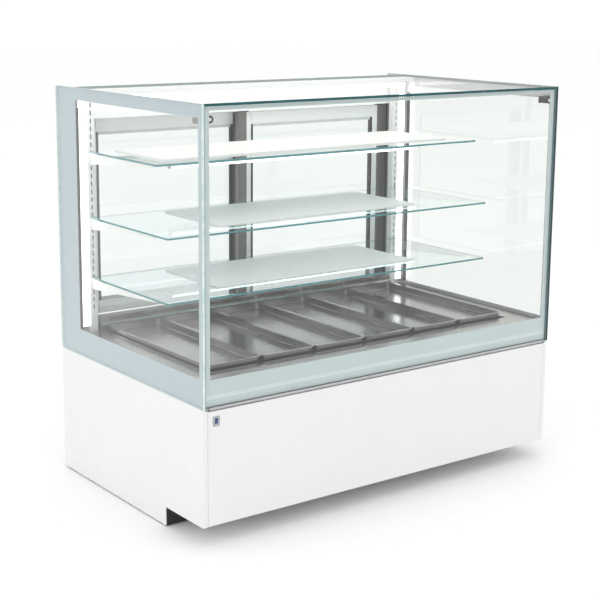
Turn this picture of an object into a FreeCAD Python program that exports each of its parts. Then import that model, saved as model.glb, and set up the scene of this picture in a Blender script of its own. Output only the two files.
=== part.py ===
import FreeCAD, Part
import math
import os

from FreeCAD import Vector

# Refrigerated bakery display case: a square glass cabinet on a painted base.
# Millimetres. +Z is up, the customer's side faces -Y, the service side +Y.
# The origin is on the floor, under the middle of the case.

os.makedirs("parts", exist_ok=True)

# ---------------------------------------------------------------- driving dimensions
width = 1385.0
depth = 860.0
height = 1270.0
glass_line = 413.0          # where the side glasses stand on the painted base
kick_height = 62.0
kick_setback = 208.0
pane = 8.0                  # thickness of the cabinet glass
shelf_pane = 6.0
sheet = 2.0                 # folded steel of the casing
trays_across = 6
tray_pitch = 200.0
tray_length = 600.0
deck_top = 484.0
shelf_heights = {"top": 1068.0, "middle": 858.0, "bottom": 663.0}
shelf_fronts = {"top": 324.0, "middle": 266.0, "bottom": 266.0}
shelf_width = 1284.0
door_width = 664.0
door_opening = 1260.0        # between the closed doors' outer edges

# ---------------------------------------------------------------- derived planes
half = width / 2
inner = half - pane         # inside faces of the side glasses
top_under = height - pane


def y_at(from_front):
    """Y of a plane that lies this far behind the front face."""
    return from_front - depth / 2


# ---------------------------------------------------------------- shape helpers
def block(x0, x1, f0, f1, z0, z1):
    """Box between two X, two distances behind the front face, and two heights."""
    return Part.makeBox(x1 - x0, f1 - f0, z1 - z0, Vector(x0, y_at(f0), z0))


def rod(x, f, z, radius, length, axis):
    """Cylinder that starts at a point and runs along axis."""
    return Part.makeCylinder(radius, length, Vector(x, y_at(f), z), axis)


def mirrored(shape):
    """The same shape on the other side of the case."""
    return shape.mirror(Vector(0, 0, 0), Vector(1, 0, 0))


def pair(shape):
    return [shape, mirrored(shape)]


def rounded_face(points, radii):
    """Flat face whose outline runs through the points, each corner rounded."""
    edges = []
    ends = []
    for i, corner in enumerate(points):
        back = (points[i - 1] - corner).normalize()
        on = (points[(i + 1) % len(points)] - corner).normalize()
        radius = radii[i]
        if radius == 0:
            ends.append((corner, corner))
            continue
        half_turn = back.getAngle(on) / 2
        reach = radius / math.tan(half_turn)
        start = corner + back * reach
        end = corner + on * reach
        crown = corner + (back + on).normalize() * (radius / math.sin(half_turn) - radius)
        edges.append(Part.Arc(start, crown, end).toShape())
        ends.append((start, end))
    for i in range(len(points)):
        leave = ends[i - 1][1]
        arrive = ends[i][0]
        if leave.distanceToPoint(arrive) > 1e-6:
            edges.append(Part.makeLine(leave, arrive))
    return Part.Face(Part.Wire(Part.__sortEdges__(edges)))


def plate_x(outline, radii, x0, x1):
    """Outline of (distance behind front, height) points, given thickness along X."""
    points = [Vector(x0, y_at(f), z) for f, z in outline]
    return rounded_face(points, radii).extrude(Vector(x1 - x0, 0, 0))


def plate_y(outline, radii, f0, f1):
    """Outline of (X, height) points, given thickness along Y."""
    points = [Vector(x, y_at(f0), z) for x, z in outline]
    return rounded_face(points, radii).extrude(Vector(0, f1 - f0, 0))


def plate_z(outline, radii, z0, z1):
    """Outline of (X, distance behind front) points, given thickness along Z."""
    points = [Vector(x, y_at(f), z0) for x, f in outline]
    return rounded_face(points, radii).extrude(Vector(0, 0, z1 - z0))


def rounded_box(x0, x1, f0, f1, z0, z1, radius):
    """Box with its four upright edges rounded."""
    return plate_z([(x0, f0), (x1, f0), (x1, f1), (x0, f1)], [radius] * 4, z0, z1)


def join(shapes):
    first = shapes[0]
    return first.multiFuse(shapes[1:]).removeSplitter() if len(shapes) > 1 else first


def pipe(points, radius, bend):
    """Round pipe through the points, straight runs joined by arcs of one radius."""
    edges = []
    start = points[0]
    for i in range(1, len(points) - 1):
        back = (points[i - 1] - points[i]).normalize()
        on = (points[i + 1] - points[i]).normalize()
        half_turn = back.getAngle(on) / 2
        reach = bend / math.tan(half_turn)
        crown = points[i] + (back + on).normalize() * (bend / math.sin(half_turn) - bend)
        edges.append(Part.makeLine(start, points[i] + back * reach))
        edges.append(Part.Arc(points[i] + back * reach, crown, points[i] + on * reach).toShape())
        start = points[i] + on * reach
    edges.append(Part.makeLine(start, points[-1]))
    ring = Part.Wire(Part.makeCircle(radius, points[0], points[1] - points[0]))
    return Part.Wire(edges).makePipeShell([ring], True, False)


def save(name, shapes):
    """Writes one node; several separate solids go into the node as a group."""
    solids = []
    for shape in shapes:
        solids.extend(shape.Solids)
    whole = solids[0] if len(solids) == 1 else Part.makeCompound(solids)
    whole.exportStep("parts/" + name + ".step")


# ---------------------------------------------------------------- chassis in the base
tube = 30.0
tube_wall = 2.0
frame_x = half - 8.0        # outside of the chassis
frame_front = 12.0
frame_back = 840.0
low_ring = 66.0
high_ring = 240.0
well_under = high_ring + tube


def square_tube(x0, x1, f0, f1, z0, z1):
    """Hollow square tube along its longest side."""
    sizes = [x1 - x0, f1 - f0, z1 - z0]
    along = sizes.index(max(sizes))
    inset = [0.0 if i == along else tube_wall for i in range(3)]
    bore = block(x0 + inset[0], x1 - inset[0], f0 + inset[1], f1 - inset[1],
                 z0 + inset[2], z1 - inset[2])
    return block(x0, x1, f0, f1, z0, z1).cut(bore)


def chassis_frame():
    """Two rings of square tube, four corner posts between them and four short legs."""
    tubes = []
    for z in (low_ring, high_ring):
        for f in (frame_front, frame_back - tube):
            tubes.append(square_tube(-frame_x, frame_x, f, f + tube, z, z + tube))
        side = square_tube(frame_x - tube, frame_x, frame_front + tube, frame_back - tube,
                           z, z + tube)
        tubes += pair(side)
    for f in (frame_front, frame_back - tube):
        tubes += pair(square_tube(frame_x - tube, frame_x, f, f + tube,
                                  low_ring + tube, high_ring))
    for f in (leg_front, frame_back - tube):
        tubes += pair(square_tube(leg_x, leg_x + tube, f, f + tube, leg_foot, low_ring))
    return tubes


leg_x = frame_x - tube
leg_front = kick_setback + 20.0
leg_foot = 28.0


def levelling_feet():
    """Threaded feet: a pad, a stem and the insert that plugs the bottom of each leg."""
    feet = []
    insert = tube - 2 * tube_wall
    for f in (leg_front, frame_back - tube):
        mid_x = leg_x + tube / 2
        mid_f = f + tube / 2
        pad = rod(mid_x, mid_f, 0, 19, 8, Vector(0, 0, 1))
        collar = Part.makeCone(19, 10, 6, Vector(mid_x, y_at(mid_f), 8), Vector(0, 0, 1))
        stem = rod(mid_x, mid_f, 14, 5, 36, Vector(0, 0, 1))
        plug = block(mid_x - insert / 2, mid_x + insert / 2, mid_f - insert / 2,
                     mid_f + insert / 2, leg_foot, leg_foot + 20)
        feet += pair(join([pad, collar, stem, plug]))
    return feet


save("chassis_frame", chassis_frame())
save("levelling_feet", levelling_feet())

# ---------------------------------------------------------------- painted casing
casing_front = 1.5          # outer face of the front panel, behind the badge's face
panel_foot = 4.0
panel_bend = 3.0


def side_panel():
    """Right side: a folded sheet with returns, cut away over the toe space and at the hinge."""
    outer = half
    lip = 16.0
    wall = half - sheet
    outline = [(outer - lip, casing_front), (outer, casing_front), (outer, depth),
               (outer - lip, depth), (outer - lip, depth - sheet), (wall, depth - sheet),
               (wall, casing_front + sheet), (outer - lip, casing_front + sheet)]
    radii = [0, panel_bend, panel_bend, 0, 0, panel_bend - sheet, panel_bend - sheet, 0]
    folded = plate_z(outline, radii, panel_foot, glass_line - 0.5)
    top_lip = block(inner - 2, wall, casing_front + sheet, depth - sheet,
                    glass_line - 0.5 - sheet, glass_line - 0.5)
    toe_space = block(0, half + 1, -1, kick_setback, 0, kick_height)
    hinge_space = block(0, inner - 0.5, -1, 20, glass_line - 5, glass_line)
    return join([folded, top_lip]).cut(toe_space).cut(hinge_space)


save("side_panel_right", [side_panel()])
save("side_panel_left", [mirrored(side_panel())])

front_half = half - 17.0
front_panel_top = 405.0


def front_panel():
    """Front sheet with a return along the top and a floor over the toe space."""
    f = casing_front
    outline = [(f, kick_height), (f, front_panel_top), (f + 9, front_panel_top),
               (f + 9, front_panel_top - sheet), (f + sheet, front_panel_top - sheet),
               (f + sheet, kick_height + sheet), (kick_setback, kick_height + sheet),
               (kick_setback, kick_height)]
    radii = [panel_bend, panel_bend, 0, 0, 1, 1, 0, 0]
    return plate_x(outline, radii, -front_half, front_half)


save("front_panel", [front_panel()])
save("kick_plate", [block(-half + sheet + 0.5, half - sheet - 0.5, kick_setback,
                          kick_setback + sheet, panel_foot, low_ring)])

badge_left = 34.0           # badge's left edge, from the left side of the case
badge = plate_y([(badge_left - half, 360), (badge_left + 22 - half, 360),
                 (badge_left + 22 - half, 389), (badge_left - half, 389)],
                [2.5] * 4, 0, casing_front)
save("badge_plate", [badge])

save("floor_pan", [block(-frame_x + tube + 2, frame_x - tube - 2, frame_front + 2,
                         frame_back - 2, low_ring + tube, low_ring + tube + sheet)])

# ---------------------------------------------------------------- rear service panel
rear_face = frame_back + 6.0
rear_half = inner - 3.0
rear_bottom = 30.0
rear_top = 460.0
fascia_x = (380.0, 560.0)
fascia_z = (177.0, 233.0)
screen_size = (71.0, 29.0)
switch_size = (20.0, 30.0)
screen_mid = (430.0, 205.0)
switch_mid = (520.0, 205.0)
gland_mid = (600.0, 110.0)
gland_bore = 5.2
louvre_width = 240.0
louvre_pitch = 22.0
louvre_rows = 7
louvre_bottom = 104.0
screw_xs = [-660.0, -330.0, 0.0, 330.0, 660.0]
screw_zs = [81.0, 255.0]


def rear_panel():
    """Service cover with hooded louvres over the condenser, held by screws."""
    cover = block(-rear_half, rear_half, rear_face - sheet, rear_face, rear_bottom, rear_top)
    cuts = []
    hoods = []
    for x0 in (-560.0, -290.0, 50.0):
        for row in range(louvre_rows):
            z = louvre_bottom + row * louvre_pitch
            cuts.append(block(x0, x0 + louvre_width, rear_face - 3, rear_face + 1, z, z + 7))
            hood = [(rear_face - 0.5, z + 7), (rear_face + 5, z + 1), (rear_face + 5, z + 2.4),
                    (rear_face - 0.5, z + 9)]
            hoods.append(plate_x(hood, [0, 0, 0, 0], x0 - 2, x0 + louvre_width + 2))
    for (x, z), (w, h) in ((screen_mid, screen_size), (switch_mid, switch_size)):
        cuts.append(block(x - w / 2 - 1, x + w / 2 + 1, rear_face - 3, rear_face + 1,
                          z - h / 2 - 1, z + h / 2 + 1))
    cuts.append(rod(gland_mid[0], rear_face - 3, gland_mid[1], 10.2, 5, Vector(0, 1, 0)))
    for x in screw_xs:
        for z in screw_zs:
            cuts.append(rod(x, rear_face - 3, z, 2.2, 5, Vector(0, 1, 0)))
    body = cover.cut(Part.makeCompound(cuts))
    return body.multiFuse(hoods)


def panel_screw(x, z):
    """Pan-head screw through the service cover."""
    shank = rod(x, frame_back + 0.5, z, 2.0, rear_face - frame_back - 0.5, Vector(0, 1, 0))
    head = rod(x, rear_face, z, 4.0, 2.4, Vector(0, 1, 0))
    cross = [block(x - 2.4, x + 2.4, rear_face + 1.2, rear_face + 3, z - 0.5, z + 0.5),
             block(x - 0.5, x + 0.5, rear_face + 1.2, rear_face + 3, z - 2.4, z + 2.4)]
    return join([shank, head]).cut(Part.makeCompound(cross))


save("rear_panel", [rear_panel()])
save("panel_screws", [panel_screw(x, z) for x in screw_xs for z in screw_zs])


def cable_gland():
    """Nylon gland: flange outside the cover, nut inside, bore for the supply cable."""
    x, z = gland_mid
    barrel = rod(x, rear_face - 14, z, 10.0, 14, Vector(0, 1, 0))
    dome = Part.makeCone(14, 9, 9, Vector(x, y_at(rear_face + 4), z), Vector(0, 1, 0))
    corners = [Vector(x + 15.5 * math.cos(math.radians(60 * i)), y_at(rear_face),
                      z + 15.5 * math.sin(math.radians(60 * i))) for i in range(6)]
    flange = rounded_face(corners, [1.0] * 6).extrude(Vector(0, 4, 0))
    nut = rod(x, rear_face - 8, z, 14, 6, Vector(0, 1, 0))
    bore = rod(x, rear_face - 20, z, gland_bore, 60, Vector(0, 1, 0))
    return join([barrel, flange, dome, nut]).cut(bore)


save("cable_gland", [cable_gland()])

fascia_face = rear_face + 8.0
rocker_tilt = 7.0
rocker_radius = 34.0        # the rocker's face is part of this circle, seen from the side


def control_fascia():
    """Moulded fascia: the thermostat's touch screen sits in one window, a rocker in the other."""
    x0, x1 = fascia_x
    z0, z1 = fascia_z
    plate = plate_y([(x0, z0), (x1, z0), (x1, z1), (x0, z1)], [6] * 4, rear_face, fascia_face)
    w, h = screen_size
    x, z = screen_mid
    housing = block(x - w / 2, x + w / 2, rear_face - 40, rear_face, z - h / 2, z + h / 2)
    screen_pocket = plate_y([(x - 34, z - 13), (x + 34, z - 13), (x + 34, z + 13),
                             (x - 34, z + 13)], [3] * 4, fascia_face - 1.5, fascia_face + 1)
    w, h = switch_size
    x, z = switch_mid
    box = block(x - w / 2, x + w / 2, rear_face - 22, rear_face, z - h / 2, z + h / 2)
    well = block(x - w / 2 + 2, x + w / 2 - 2, rear_face - 20, fascia_face + 1,
                 z - h / 2 + 2, z + h / 2 - 2)
    pin = rod(x - w / 2 + 1, rear_face, z, 1.5, w - 2, Vector(1, 0, 0))
    return join([join([plate, housing, box]).cut(screen_pocket).cut(well), pin])


def light_switch():
    """Rocker on a pin; it rests with its upper half pressed in."""
    w, h = switch_size
    x, z = switch_mid
    wide = w - 5
    tall = h - 6.5
    pivot = Vector(x, y_at(rear_face), z)
    body = block(x - wide / 2, x + wide / 2, rear_face - 7, fascia_face + 2,
                 z - tall / 2, z + tall / 2)
    round_side = rod(x - wide / 2 - 1, rear_face - rocker_radius + fascia_face - rear_face + 2,
                     z, rocker_radius, wide + 2, Vector(1, 0, 0))
    bore = rod(x - wide / 2 - 1, rear_face, z, 1.55, wide + 2, Vector(1, 0, 0))
    rocker = body.common(round_side).cut(bore)
    rocker.rotate(pivot, Vector(1, 0, 0), rocker_tilt)
    return rocker


save("control_fascia", [control_fascia()])
save("light_switch", [light_switch()])

# ---------------------------------------------------------------- insulated well
well_x = inner - 10.0
well_front = 16.0
well_wall = 30.0
well_base_thick = 40.0
well_rim = 450.0
sill_under = 468.0
well_floor = well_under + well_base_thick
pipe_x = 560.0
pipe_fs = (620.0, 660.0)
pipe_z = 345.0
liquid_x = 600.0


def foam_panel(x0, x1, f0, f1, z0, z1):
    """Hollow liner for the foam, with the round hole that the foam goes in by."""
    skin = 2.0
    hollow = block(x0 + skin, x1 - skin, f0 + skin, f1 - skin, z0 + skin, z1 - skin)
    hole = rod((x0 + x1) / 2, (f0 + f1) / 2, z0 - 1, 8, skin + 2, Vector(0, 0, 1))
    return block(x0, x1, f0, f1, z0, z1).cut(hollow).cut(hole)


def insulated_well():
    """Five foam panels that make the cold well under the trays."""
    base = foam_panel(-well_x, well_x, well_front, frame_back, well_under, well_floor)
    for f in pipe_fs:
        sleeve = rod(pipe_x, f, well_under, 11, well_base_thick, Vector(0, 0, 1))
        bore = rod(pipe_x, f, well_under - 1, 9, well_base_thick + 2, Vector(0, 0, 1))
        base = join([base, sleeve]).cut(bore)
    front = foam_panel(-well_x, well_x, well_front, well_front + well_wall, well_floor, well_rim)
    rear = foam_panel(-well_x, well_x, frame_back - well_wall, frame_back, well_floor,
                      sill_under)
    end = foam_panel(well_x - well_wall, well_x, well_front + well_wall,
                     frame_back - well_wall, well_floor, well_rim)
    return [base, front, rear] + pair(end)


save("insulated_well", insulated_well())

# ---------------------------------------------------------------- deck and trays
tray_front = 124.0
tray_back = tray_front + tray_length
tray_field = trays_across * tray_pitch / 2
ledge_front = 11.0
ledge_back = tray_front - 12.0
tray_lip_gap = 2.0
tray_floor = deck_top - 8.0
tray_rim = tray_floor + 24.0
tray_sheet = 1.2
bearer_fs = (160.0, 424.0, 690.0)


def deck_surround():
    """Folded ledges round the trays, and the bearers that the trays stand on."""
    drop = 18.0
    top = deck_top
    face = [(ledge_front, top - drop), (ledge_front, top), (ledge_back, top),
            (ledge_back, top - drop), (ledge_back - sheet, top - drop),
            (ledge_back - sheet, top - sheet), (ledge_front + sheet, top - sheet),
            (ledge_front + sheet, top - drop)]
    radii = [0, 2.5, 2.5, 0, 0, 0.5, 0.5, 0]
    front = plate_x(face, radii, -inner + 1, inner - 1)
    x0 = tray_field + 2
    x1 = inner - 1
    side_face = [(x0, top - drop), (x0, top), (x1, top), (x1, top - sheet),
                 (x0 + sheet, top - sheet), (x0 + sheet, top - drop)]
    side = rounded_face([Vector(x, y_at(ledge_back), z) for x, z in side_face],
                        [0, 2.5, 0, 0, 0.5, 0]).extrude(Vector(0, tray_back + 4 - ledge_back, 0))
    bearers = [block(-x0, x0, f - 10, f + 10, tray_floor - 8.2, tray_floor - 0.2)
               for f in bearer_fs]
    return [front] + pair(side) + bearers


def tray(middle):
    """Pressed steel tray with rounded corners and a flat lip round its rim."""
    lip_x = (tray_pitch - tray_lip_gap) / 2
    wall_x = lip_x - 5
    f0 = tray_front + 5
    f1 = tray_back - 5
    outside = rounded_box(middle - wall_x, middle + wall_x, f0, f1, tray_floor, tray_rim, 14)
    low = [e for e in outside.Edges if e.BoundBox.ZMax < tray_floor + 0.01]
    outside = outside.makeFillet(4.0, low)
    t = tray_sheet
    inside = rounded_box(middle - wall_x + t, middle + wall_x - t, f0 + t, f1 - t,
                         tray_floor + t, tray_rim + 1, 14 - t)
    low = [e for e in inside.Edges if e.BoundBox.ZMax < tray_floor + t + 0.01]
    inside = inside.makeFillet(4.0 - t, low)
    lip = rounded_box(middle - lip_x, middle + lip_x, tray_front, tray_back,
                      tray_rim - t, tray_rim, 17)
    return join([outside, lip]).cut(inside)


save("deck_surround", deck_surround())
for i in range(trays_across):
    save("tray_%d" % (i + 1), [tray((i - (trays_across - 1) / 2) * tray_pitch)])

duct_front = 730.0
duct_back = 766.0
duct_top = 526.0
duct_half = 615.0


def rear_air_duct():
    """Return-air duct behind the trays: a folded hood with two rows of slots."""
    foot = deck_top - 16
    face = [(duct_front, foot), (duct_front, 500), (duct_front + 8, 506),
            (duct_front + 8, duct_top), (duct_back, duct_top), (duct_back, foot),
            (duct_back - sheet, foot), (duct_back - sheet, duct_top - sheet),
            (duct_front + 8 + sheet, duct_top - sheet), (duct_front + 8 + sheet, 504.6),
            (duct_front + sheet, 498.6), (duct_front + sheet, foot)]
    hood = plate_x(face, [0] * 12, -duct_half, duct_half)
    slots = []
    pitch = 49.0
    for i in range(24):
        x = (i - 11.5) * pitch
        for f, z in ((duct_front - 1, 487.0), (duct_front + 7, 512.0)):
            slots.append(block(x - 19, x + 19, f, f + 4, z, z + 6))
    return hood.cut(Part.makeCompound(slots))


save("rear_air_duct", [rear_air_duct()])

# ---------------------------------------------------------------- cabinet glass
corner_round = 12.0


def side_glass():
    outline = [(0, glass_line), (depth, glass_line), (depth, height), (0, height)]
    return plate_x(outline, [1, corner_round, corner_round, 1], inner, half)


save("side_glass_right", [side_glass()])
save("side_glass_left", [mirrored(side_glass())])

top_glass_back = 758.0
save("top_glass", [rounded_box(-inner, inner, 0, top_glass_back, top_under, height, 1.0)])

front_glass_foot = 417.0
front_glass_half = inner - 1.0
save("front_glass", [block(-front_glass_half, front_glass_half, 0, pane,
                           front_glass_foot, top_under - 1)])

# ---------------------------------------------------------------- tilting front
pivot_f = 5.5
pivot_z = 413.0
pin_radius = 2.0
rail_half = 670.0


def front_glass_rail():
    """Aluminium rail bonded along the foot of the front glass; a pin enters each end."""
    bar = block(-rail_half, rail_half, pivot_f - 5, pivot_f + 5, pivot_z - 4, pivot_z + 4)
    lip = block(-rail_half, rail_half, pane, pivot_f + 5, pivot_z + 4, pivot_z + 24)
    rail = join([bar, lip])
    for x, way in ((-rail_half, 1), (rail_half, -1)):
        rail = rail.cut(rod(x - way, pivot_f, pivot_z, pin_radius + 0.05, 16, Vector(way, 0, 0)))
    return rail


def hinge_bracket():
    """End bracket with its pin; the nose is round so that the glass can swing past it."""
    x0 = rail_half + 1
    wide = front_glass_half - x0
    nose = rod(x0, pivot_f, pivot_z, 3.7, wide, Vector(1, 0, 0))
    arm = block(x0, x0 + wide, pivot_f, well_front, pivot_z - 3.7, pivot_z + 3.7)
    pin = rod(x0 - 13, pivot_f, pivot_z, pin_radius, 14, Vector(1, 0, 0))
    return join([nose, arm, pin])


save("front_glass_rail", [front_glass_rail()])
save("hinge_brackets", pair(hinge_bracket()))

knob_x = 660.0
knob_z = 1226.0
knob_radius = 11.0
knob_length = 36.0


def catch_knob():
    """Turned knob bonded inside the front glass, with a groove and a soft end ring."""
    f0 = pane
    f1 = pane + knob_length
    profile = [(0, f0), (knob_radius, f0), (knob_radius, f0 + 9), (knob_radius - 1.2, f0 + 10.2),
               (knob_radius - 1.2, f0 + 12.4), (knob_radius, f0 + 13.6), (knob_radius, f1 - 1.5),
               (knob_radius - 1.5, f1), (0, f1)]
    points = [Vector(knob_x + r, y_at(f), knob_z) for r, f in profile]
    points.append(points[0])
    face = Part.Face(Part.makePolygon(points))
    return face.revolve(Vector(knob_x, 0, knob_z), Vector(0, 1, 0), 360)


def catch_plate():
    """Steel plate on the side glass that the closed knob rests against."""
    f = pane + knob_length + 0.4
    leg = block(inner - 3, inner, f - 14, f + 14, knob_z - 13, knob_z + 13)
    arm = block(knob_x - 10, inner - 3, f, f + 3, knob_z - 11, knob_z + 11)
    return join([leg, arm])


save("catch_knobs", pair(catch_knob()))
save("catch_plates", pair(catch_plate()))

save("side_glass_rails", pair(join([
    block(inner - 10, inner, 20, 842, glass_line, 464),
    block(inner - 10, inner - 3, 20, 842, 380, glass_line)])))

# ---------------------------------------------------------------- rear frame
rear_frame_front = 772.0
rear_frame_back = 856.0
head_under = 1165.0
head_shelf_front = 700.0
head_shelf_under = 1248.0
sill_top = 500.0
inner_track = 806.0
outer_track = 842.0
rib = 4.0
guide_slot = 12.0
jamb_x = 640.0


def rear_head():
    """Extruded head: a fascia over the doors, and a shelf that carries the top glass."""
    outline = [(head_shelf_front, head_shelf_under), (head_shelf_front, top_under),
               (top_glass_back, top_under), (rear_frame_back, top_under - 4),
               (rear_frame_back, head_under), (rear_frame_front, head_under),
               (rear_frame_front, head_shelf_under)]
    head = plate_x(outline, [1.5, 0, 0, 2, 1, 1, 3], -inner, inner)
    for f in (inner_track, outer_track):
        head = head.cut(block(-inner, inner, f - guide_slot / 2, f + guide_slot / 2,
                              head_under - 1, head_under + 24))
    hollow = block(-inner, inner, rear_frame_front + 3, rear_frame_back - 3,
                   head_under + 28, head_shelf_under - 3)
    shelf_hollow = block(-inner, inner, head_shelf_front + 3, rear_frame_front - 3,
                         head_shelf_under + 3, top_under - 3)
    return head.cut(hollow).cut(shelf_hollow)


def rear_sill():
    """Extruded hollow sill with one upstanding rib for each door."""
    sill = plate_x([(768, sill_under), (rear_frame_back, sill_under),
                    (rear_frame_back, sill_top), (768, sill_top)], [0, 1, 2, 2], -inner, inner)
    hollow = block(-inner, inner, 771, rear_frame_back - 3, sill_under + 3, sill_top - 3)
    ribs = [block(-jamb_x + 2, jamb_x - 2, f - rib / 2, f + rib / 2, sill_top, sill_top + 8)
            for f in (inner_track, outer_track)]
    return join([sill.cut(hollow)] + ribs)


def rear_jamb():
    """Hollow post beside the doors."""
    post = block(jamb_x, inner, rear_frame_front, rear_frame_back, sill_top, head_under)
    core = block(jamb_x + 3, inner - 3, rear_frame_front + 3, rear_frame_back - 3,
                 sill_top, head_under)
    return post.cut(core)


def brush_seal(f):
    """Strip in the jamb that a closed door's edge stands against."""
    return block(door_opening / 2 + 2, jamb_x, f - 3, f + 3, sill_top + 9, head_under)


jamb_parts = pair(rear_jamb())
for f in (inner_track, outer_track):
    jamb_parts += pair(brush_seal(f))
save("rear_head", [rear_head()])
save("rear_sill", [rear_sill()])
save("rear_jambs", jamb_parts)

# ---------------------------------------------------------------- sliding doors
door_thick = 20.0
door_foot = 514.0
door_head = 1158.0
stile = 64.0
narrow_stile = 54.0         # the inner door's meeting stile
door_rail = 42.0
bead = 20.0                 # sloping part of a profile beside the glass
bead_fall = 3.0
profile_wall = 2.5
door_rebate = 7.0
glazing = 11.0              # two 3 mm panes and the space between them


def door_profile(wide):
    """Cross-section of a hollow profile as (across, through): the glass enters at 'wide'."""
    t = door_thick / 2
    return [(0, -t), (wide - bead, -t), (wide, -t + bead_fall), (wide, t - bead_fall),
            (wide - bead, t), (0, t)]


def hollow_profile(wide, place):
    """Extrudes the cross-section; place turns (across, through) into the face's points."""
    points, along = place(door_profile(wide))
    bar = rounded_face(points, [1.0, 0, 0, 0, 0, 1.0]).extrude(along)
    t = door_thick / 2 - profile_wall
    chamber = [(profile_wall, -t), (wide - bead, -t), (wide - bead, t), (profile_wall, t)]
    points, along = place(chamber)
    bar = bar.cut(rounded_face(points, [0] * 4).extrude(along))
    g = glazing / 2 + 0.5
    groove = [(wide - door_rebate, -g), (wide + 1, -g), (wide + 1, g), (wide - door_rebate, g)]
    points, along = place(groove)
    return bar.cut(rounded_face(points, [0] * 4).extrude(along))


def stile_bar(edge_x, way, f, wide):
    """Upright profile from the door's edge; way points towards the glass."""
    def place(section):
        points = [Vector(edge_x + way * a, y_at(f + t), door_foot) for a, t in section]
        return points, Vector(0, 0, door_head - door_foot)
    return hollow_profile(wide, place)


def rail_bar(edge_z, way, f, x0, x1):
    """Level profile from the door's foot or head; way points towards the glass."""
    def place(section):
        points = [Vector(x0, y_at(f + t), edge_z + way * a) for a, t in section]
        return points, Vector(x1 - x0, 0, 0)
    return hollow_profile(door_rail, place)


def door_frame(x0, f, left_stile, right_stile):
    """Two stiles and the two rails between them."""
    x1 = x0 + door_width
    a = x0 + left_stile
    b = x1 - right_stile
    return [stile_bar(x0, 1, f, left_stile), stile_bar(x1, -1, f, right_stile),
            rail_bar(door_foot, 1, f, a, b), rail_bar(door_head, -1, f, a, b)]


def door_glass(x0, f, left_stile, right_stile):
    """Double glazing: two panes and the spacer between them, which shows as a dark edge."""
    edge = door_rebate - 0.5
    a = x0 + left_stile - edge
    b = x0 + door_width - right_stile + edge
    c = door_foot + door_rail - edge
    d = door_head - door_rail + edge
    g = glazing / 2
    panes = [block(a, b, f - g, f - g + 3, c, d), block(a, b, f + g - 3, f + g, c, d)]
    wide = edge + 10
    spacer = block(a, b, f - g + 3, f + g - 3, c, d).cut(
        block(a + wide, b - wide, f - g, f + g, c + wide, d - wide))
    return panes + [spacer]


def door_glides(x0, f):
    """Grooved shoes that ride the sill rib, and guides that run in the head."""
    shoes = []
    for x in (x0 + 30, x0 + door_width - 30):
        shoe = block(x - 16, x + 16, f - 7, f + 7, sill_top + 0.3, door_foot)
        shoe = shoe.cut(block(x - 17, x + 17, f - rib / 2 - 0.4, f + rib / 2 + 0.4,
                              sill_top, sill_top + 8.3))
        guide = block(x - 16, x + 16, f - 4.5, f + 4.5, door_head, head_under + 16)
        shoes += [shoe, guide]
    return shoes


def door_pull(x, f, way):
    """Finger lip screwed along the outer stile; way points towards the door's middle."""
    face = f + door_thick / 2
    z_low = 700.0
    z_high = 960.0
    lip = [(x, face), (x + way * 22, face), (x + way * 22, face + 2), (x + way * 4, face + 2),
           (x + way * 2, face + 6), (x, face + 6)]
    points = [Vector(px, y_at(pf), z_low) for px, pf in lip]
    return rounded_face(points, [0] * 6).extrude(Vector(0, 0, z_high - z_low))


edge = door_opening / 2
for side, x0, f, stiles, pull_x, way in (
        ("left", -edge, outer_track, (stile, stile), -edge + 3, 1),
        ("right", edge - door_width, inner_track, (narrow_stile, stile), edge - 3, -1)):
    save("door_%s_frame" % side, door_frame(x0, f, *stiles))
    save("door_%s_glass" % side, door_glass(x0, f, *stiles))
    save("door_%s_glides" % side, door_glides(x0, f))
    save("door_%s_pull" % side, [door_pull(pull_x, f, way)])

# ---------------------------------------------------------------- shelves and their supports
upright_x = (620.0, 646.0)
upright_front = 742.0
upright_back = 768.0
upright_foot = deck_top - 14
hook_pitch = 25.0
bracket_mid = (upright_x[0] + upright_x[1]) / 2
bracket_tip = 352.0
slot_width = 5.0


def shelf_upright():
    """Slotted steel channel, open at the back."""
    x0, x1 = upright_x
    z1 = head_shelf_under - 0.5
    channel = block(x0, x1, upright_front, upright_back, upright_foot, z1)
    channel = channel.cut(block(x0 + sheet, x1 - sheet, upright_front + sheet,
                                upright_back + 1, upright_foot, z1))
    slots = []
    count = int((z1 - 560) / hook_pitch)
    for i in range(count):
        z = 555 + i * hook_pitch
        slots.append(block(bracket_mid - slot_width / 2, bracket_mid + slot_width / 2,
                           upright_front - 1, upright_front + sheet + 1, z, z + 15))
    return channel.cut(Part.makeCompound(slots))


def shelf_bracket(shelf_z):
    """Tapered cantilever bracket with a flange under the glass and two hooks."""
    under = shelf_z - shelf_pane
    web = plate_x([(upright_front, under), (upright_front, under - 36), (bracket_tip, under - 7),
                   (bracket_tip, under)], [0, 3, 3, 0], bracket_mid - 2, bracket_mid + 2)
    flange = block(bracket_mid - 10, bracket_mid + 10, bracket_tip, upright_front - 6,
                   under - 2, under)
    # The slot that the upper hook enters is the highest one under the shelf.
    slot_z = 555 + math.floor((under - 16 - 555) / hook_pitch) * hook_pitch
    hooks = []
    for z in (slot_z, slot_z - hook_pitch):
        if z + 13 > under - 36:
            hooks.append(block(bracket_mid - 2, bracket_mid + 2, upright_front - 1,
                               upright_front + 6, max(z + 1, under - 35), z + 13))
    return join([web, flange] + hooks)


def shelf_glass(name):
    z = shelf_heights[name]
    return rounded_box(-shelf_width / 2, shelf_width / 2, shelf_fronts[name],
                       upright_front - 4, z - shelf_pane, z, 5.0)


save("shelf_uprights", pair(shelf_upright()))
brackets = []
for z in shelf_heights.values():
    brackets += pair(shelf_bracket(z))
save("shelf_brackets", brackets)
for name in shelf_heights:
    save("shelf_glass_" + name, [shelf_glass(name)])

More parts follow.
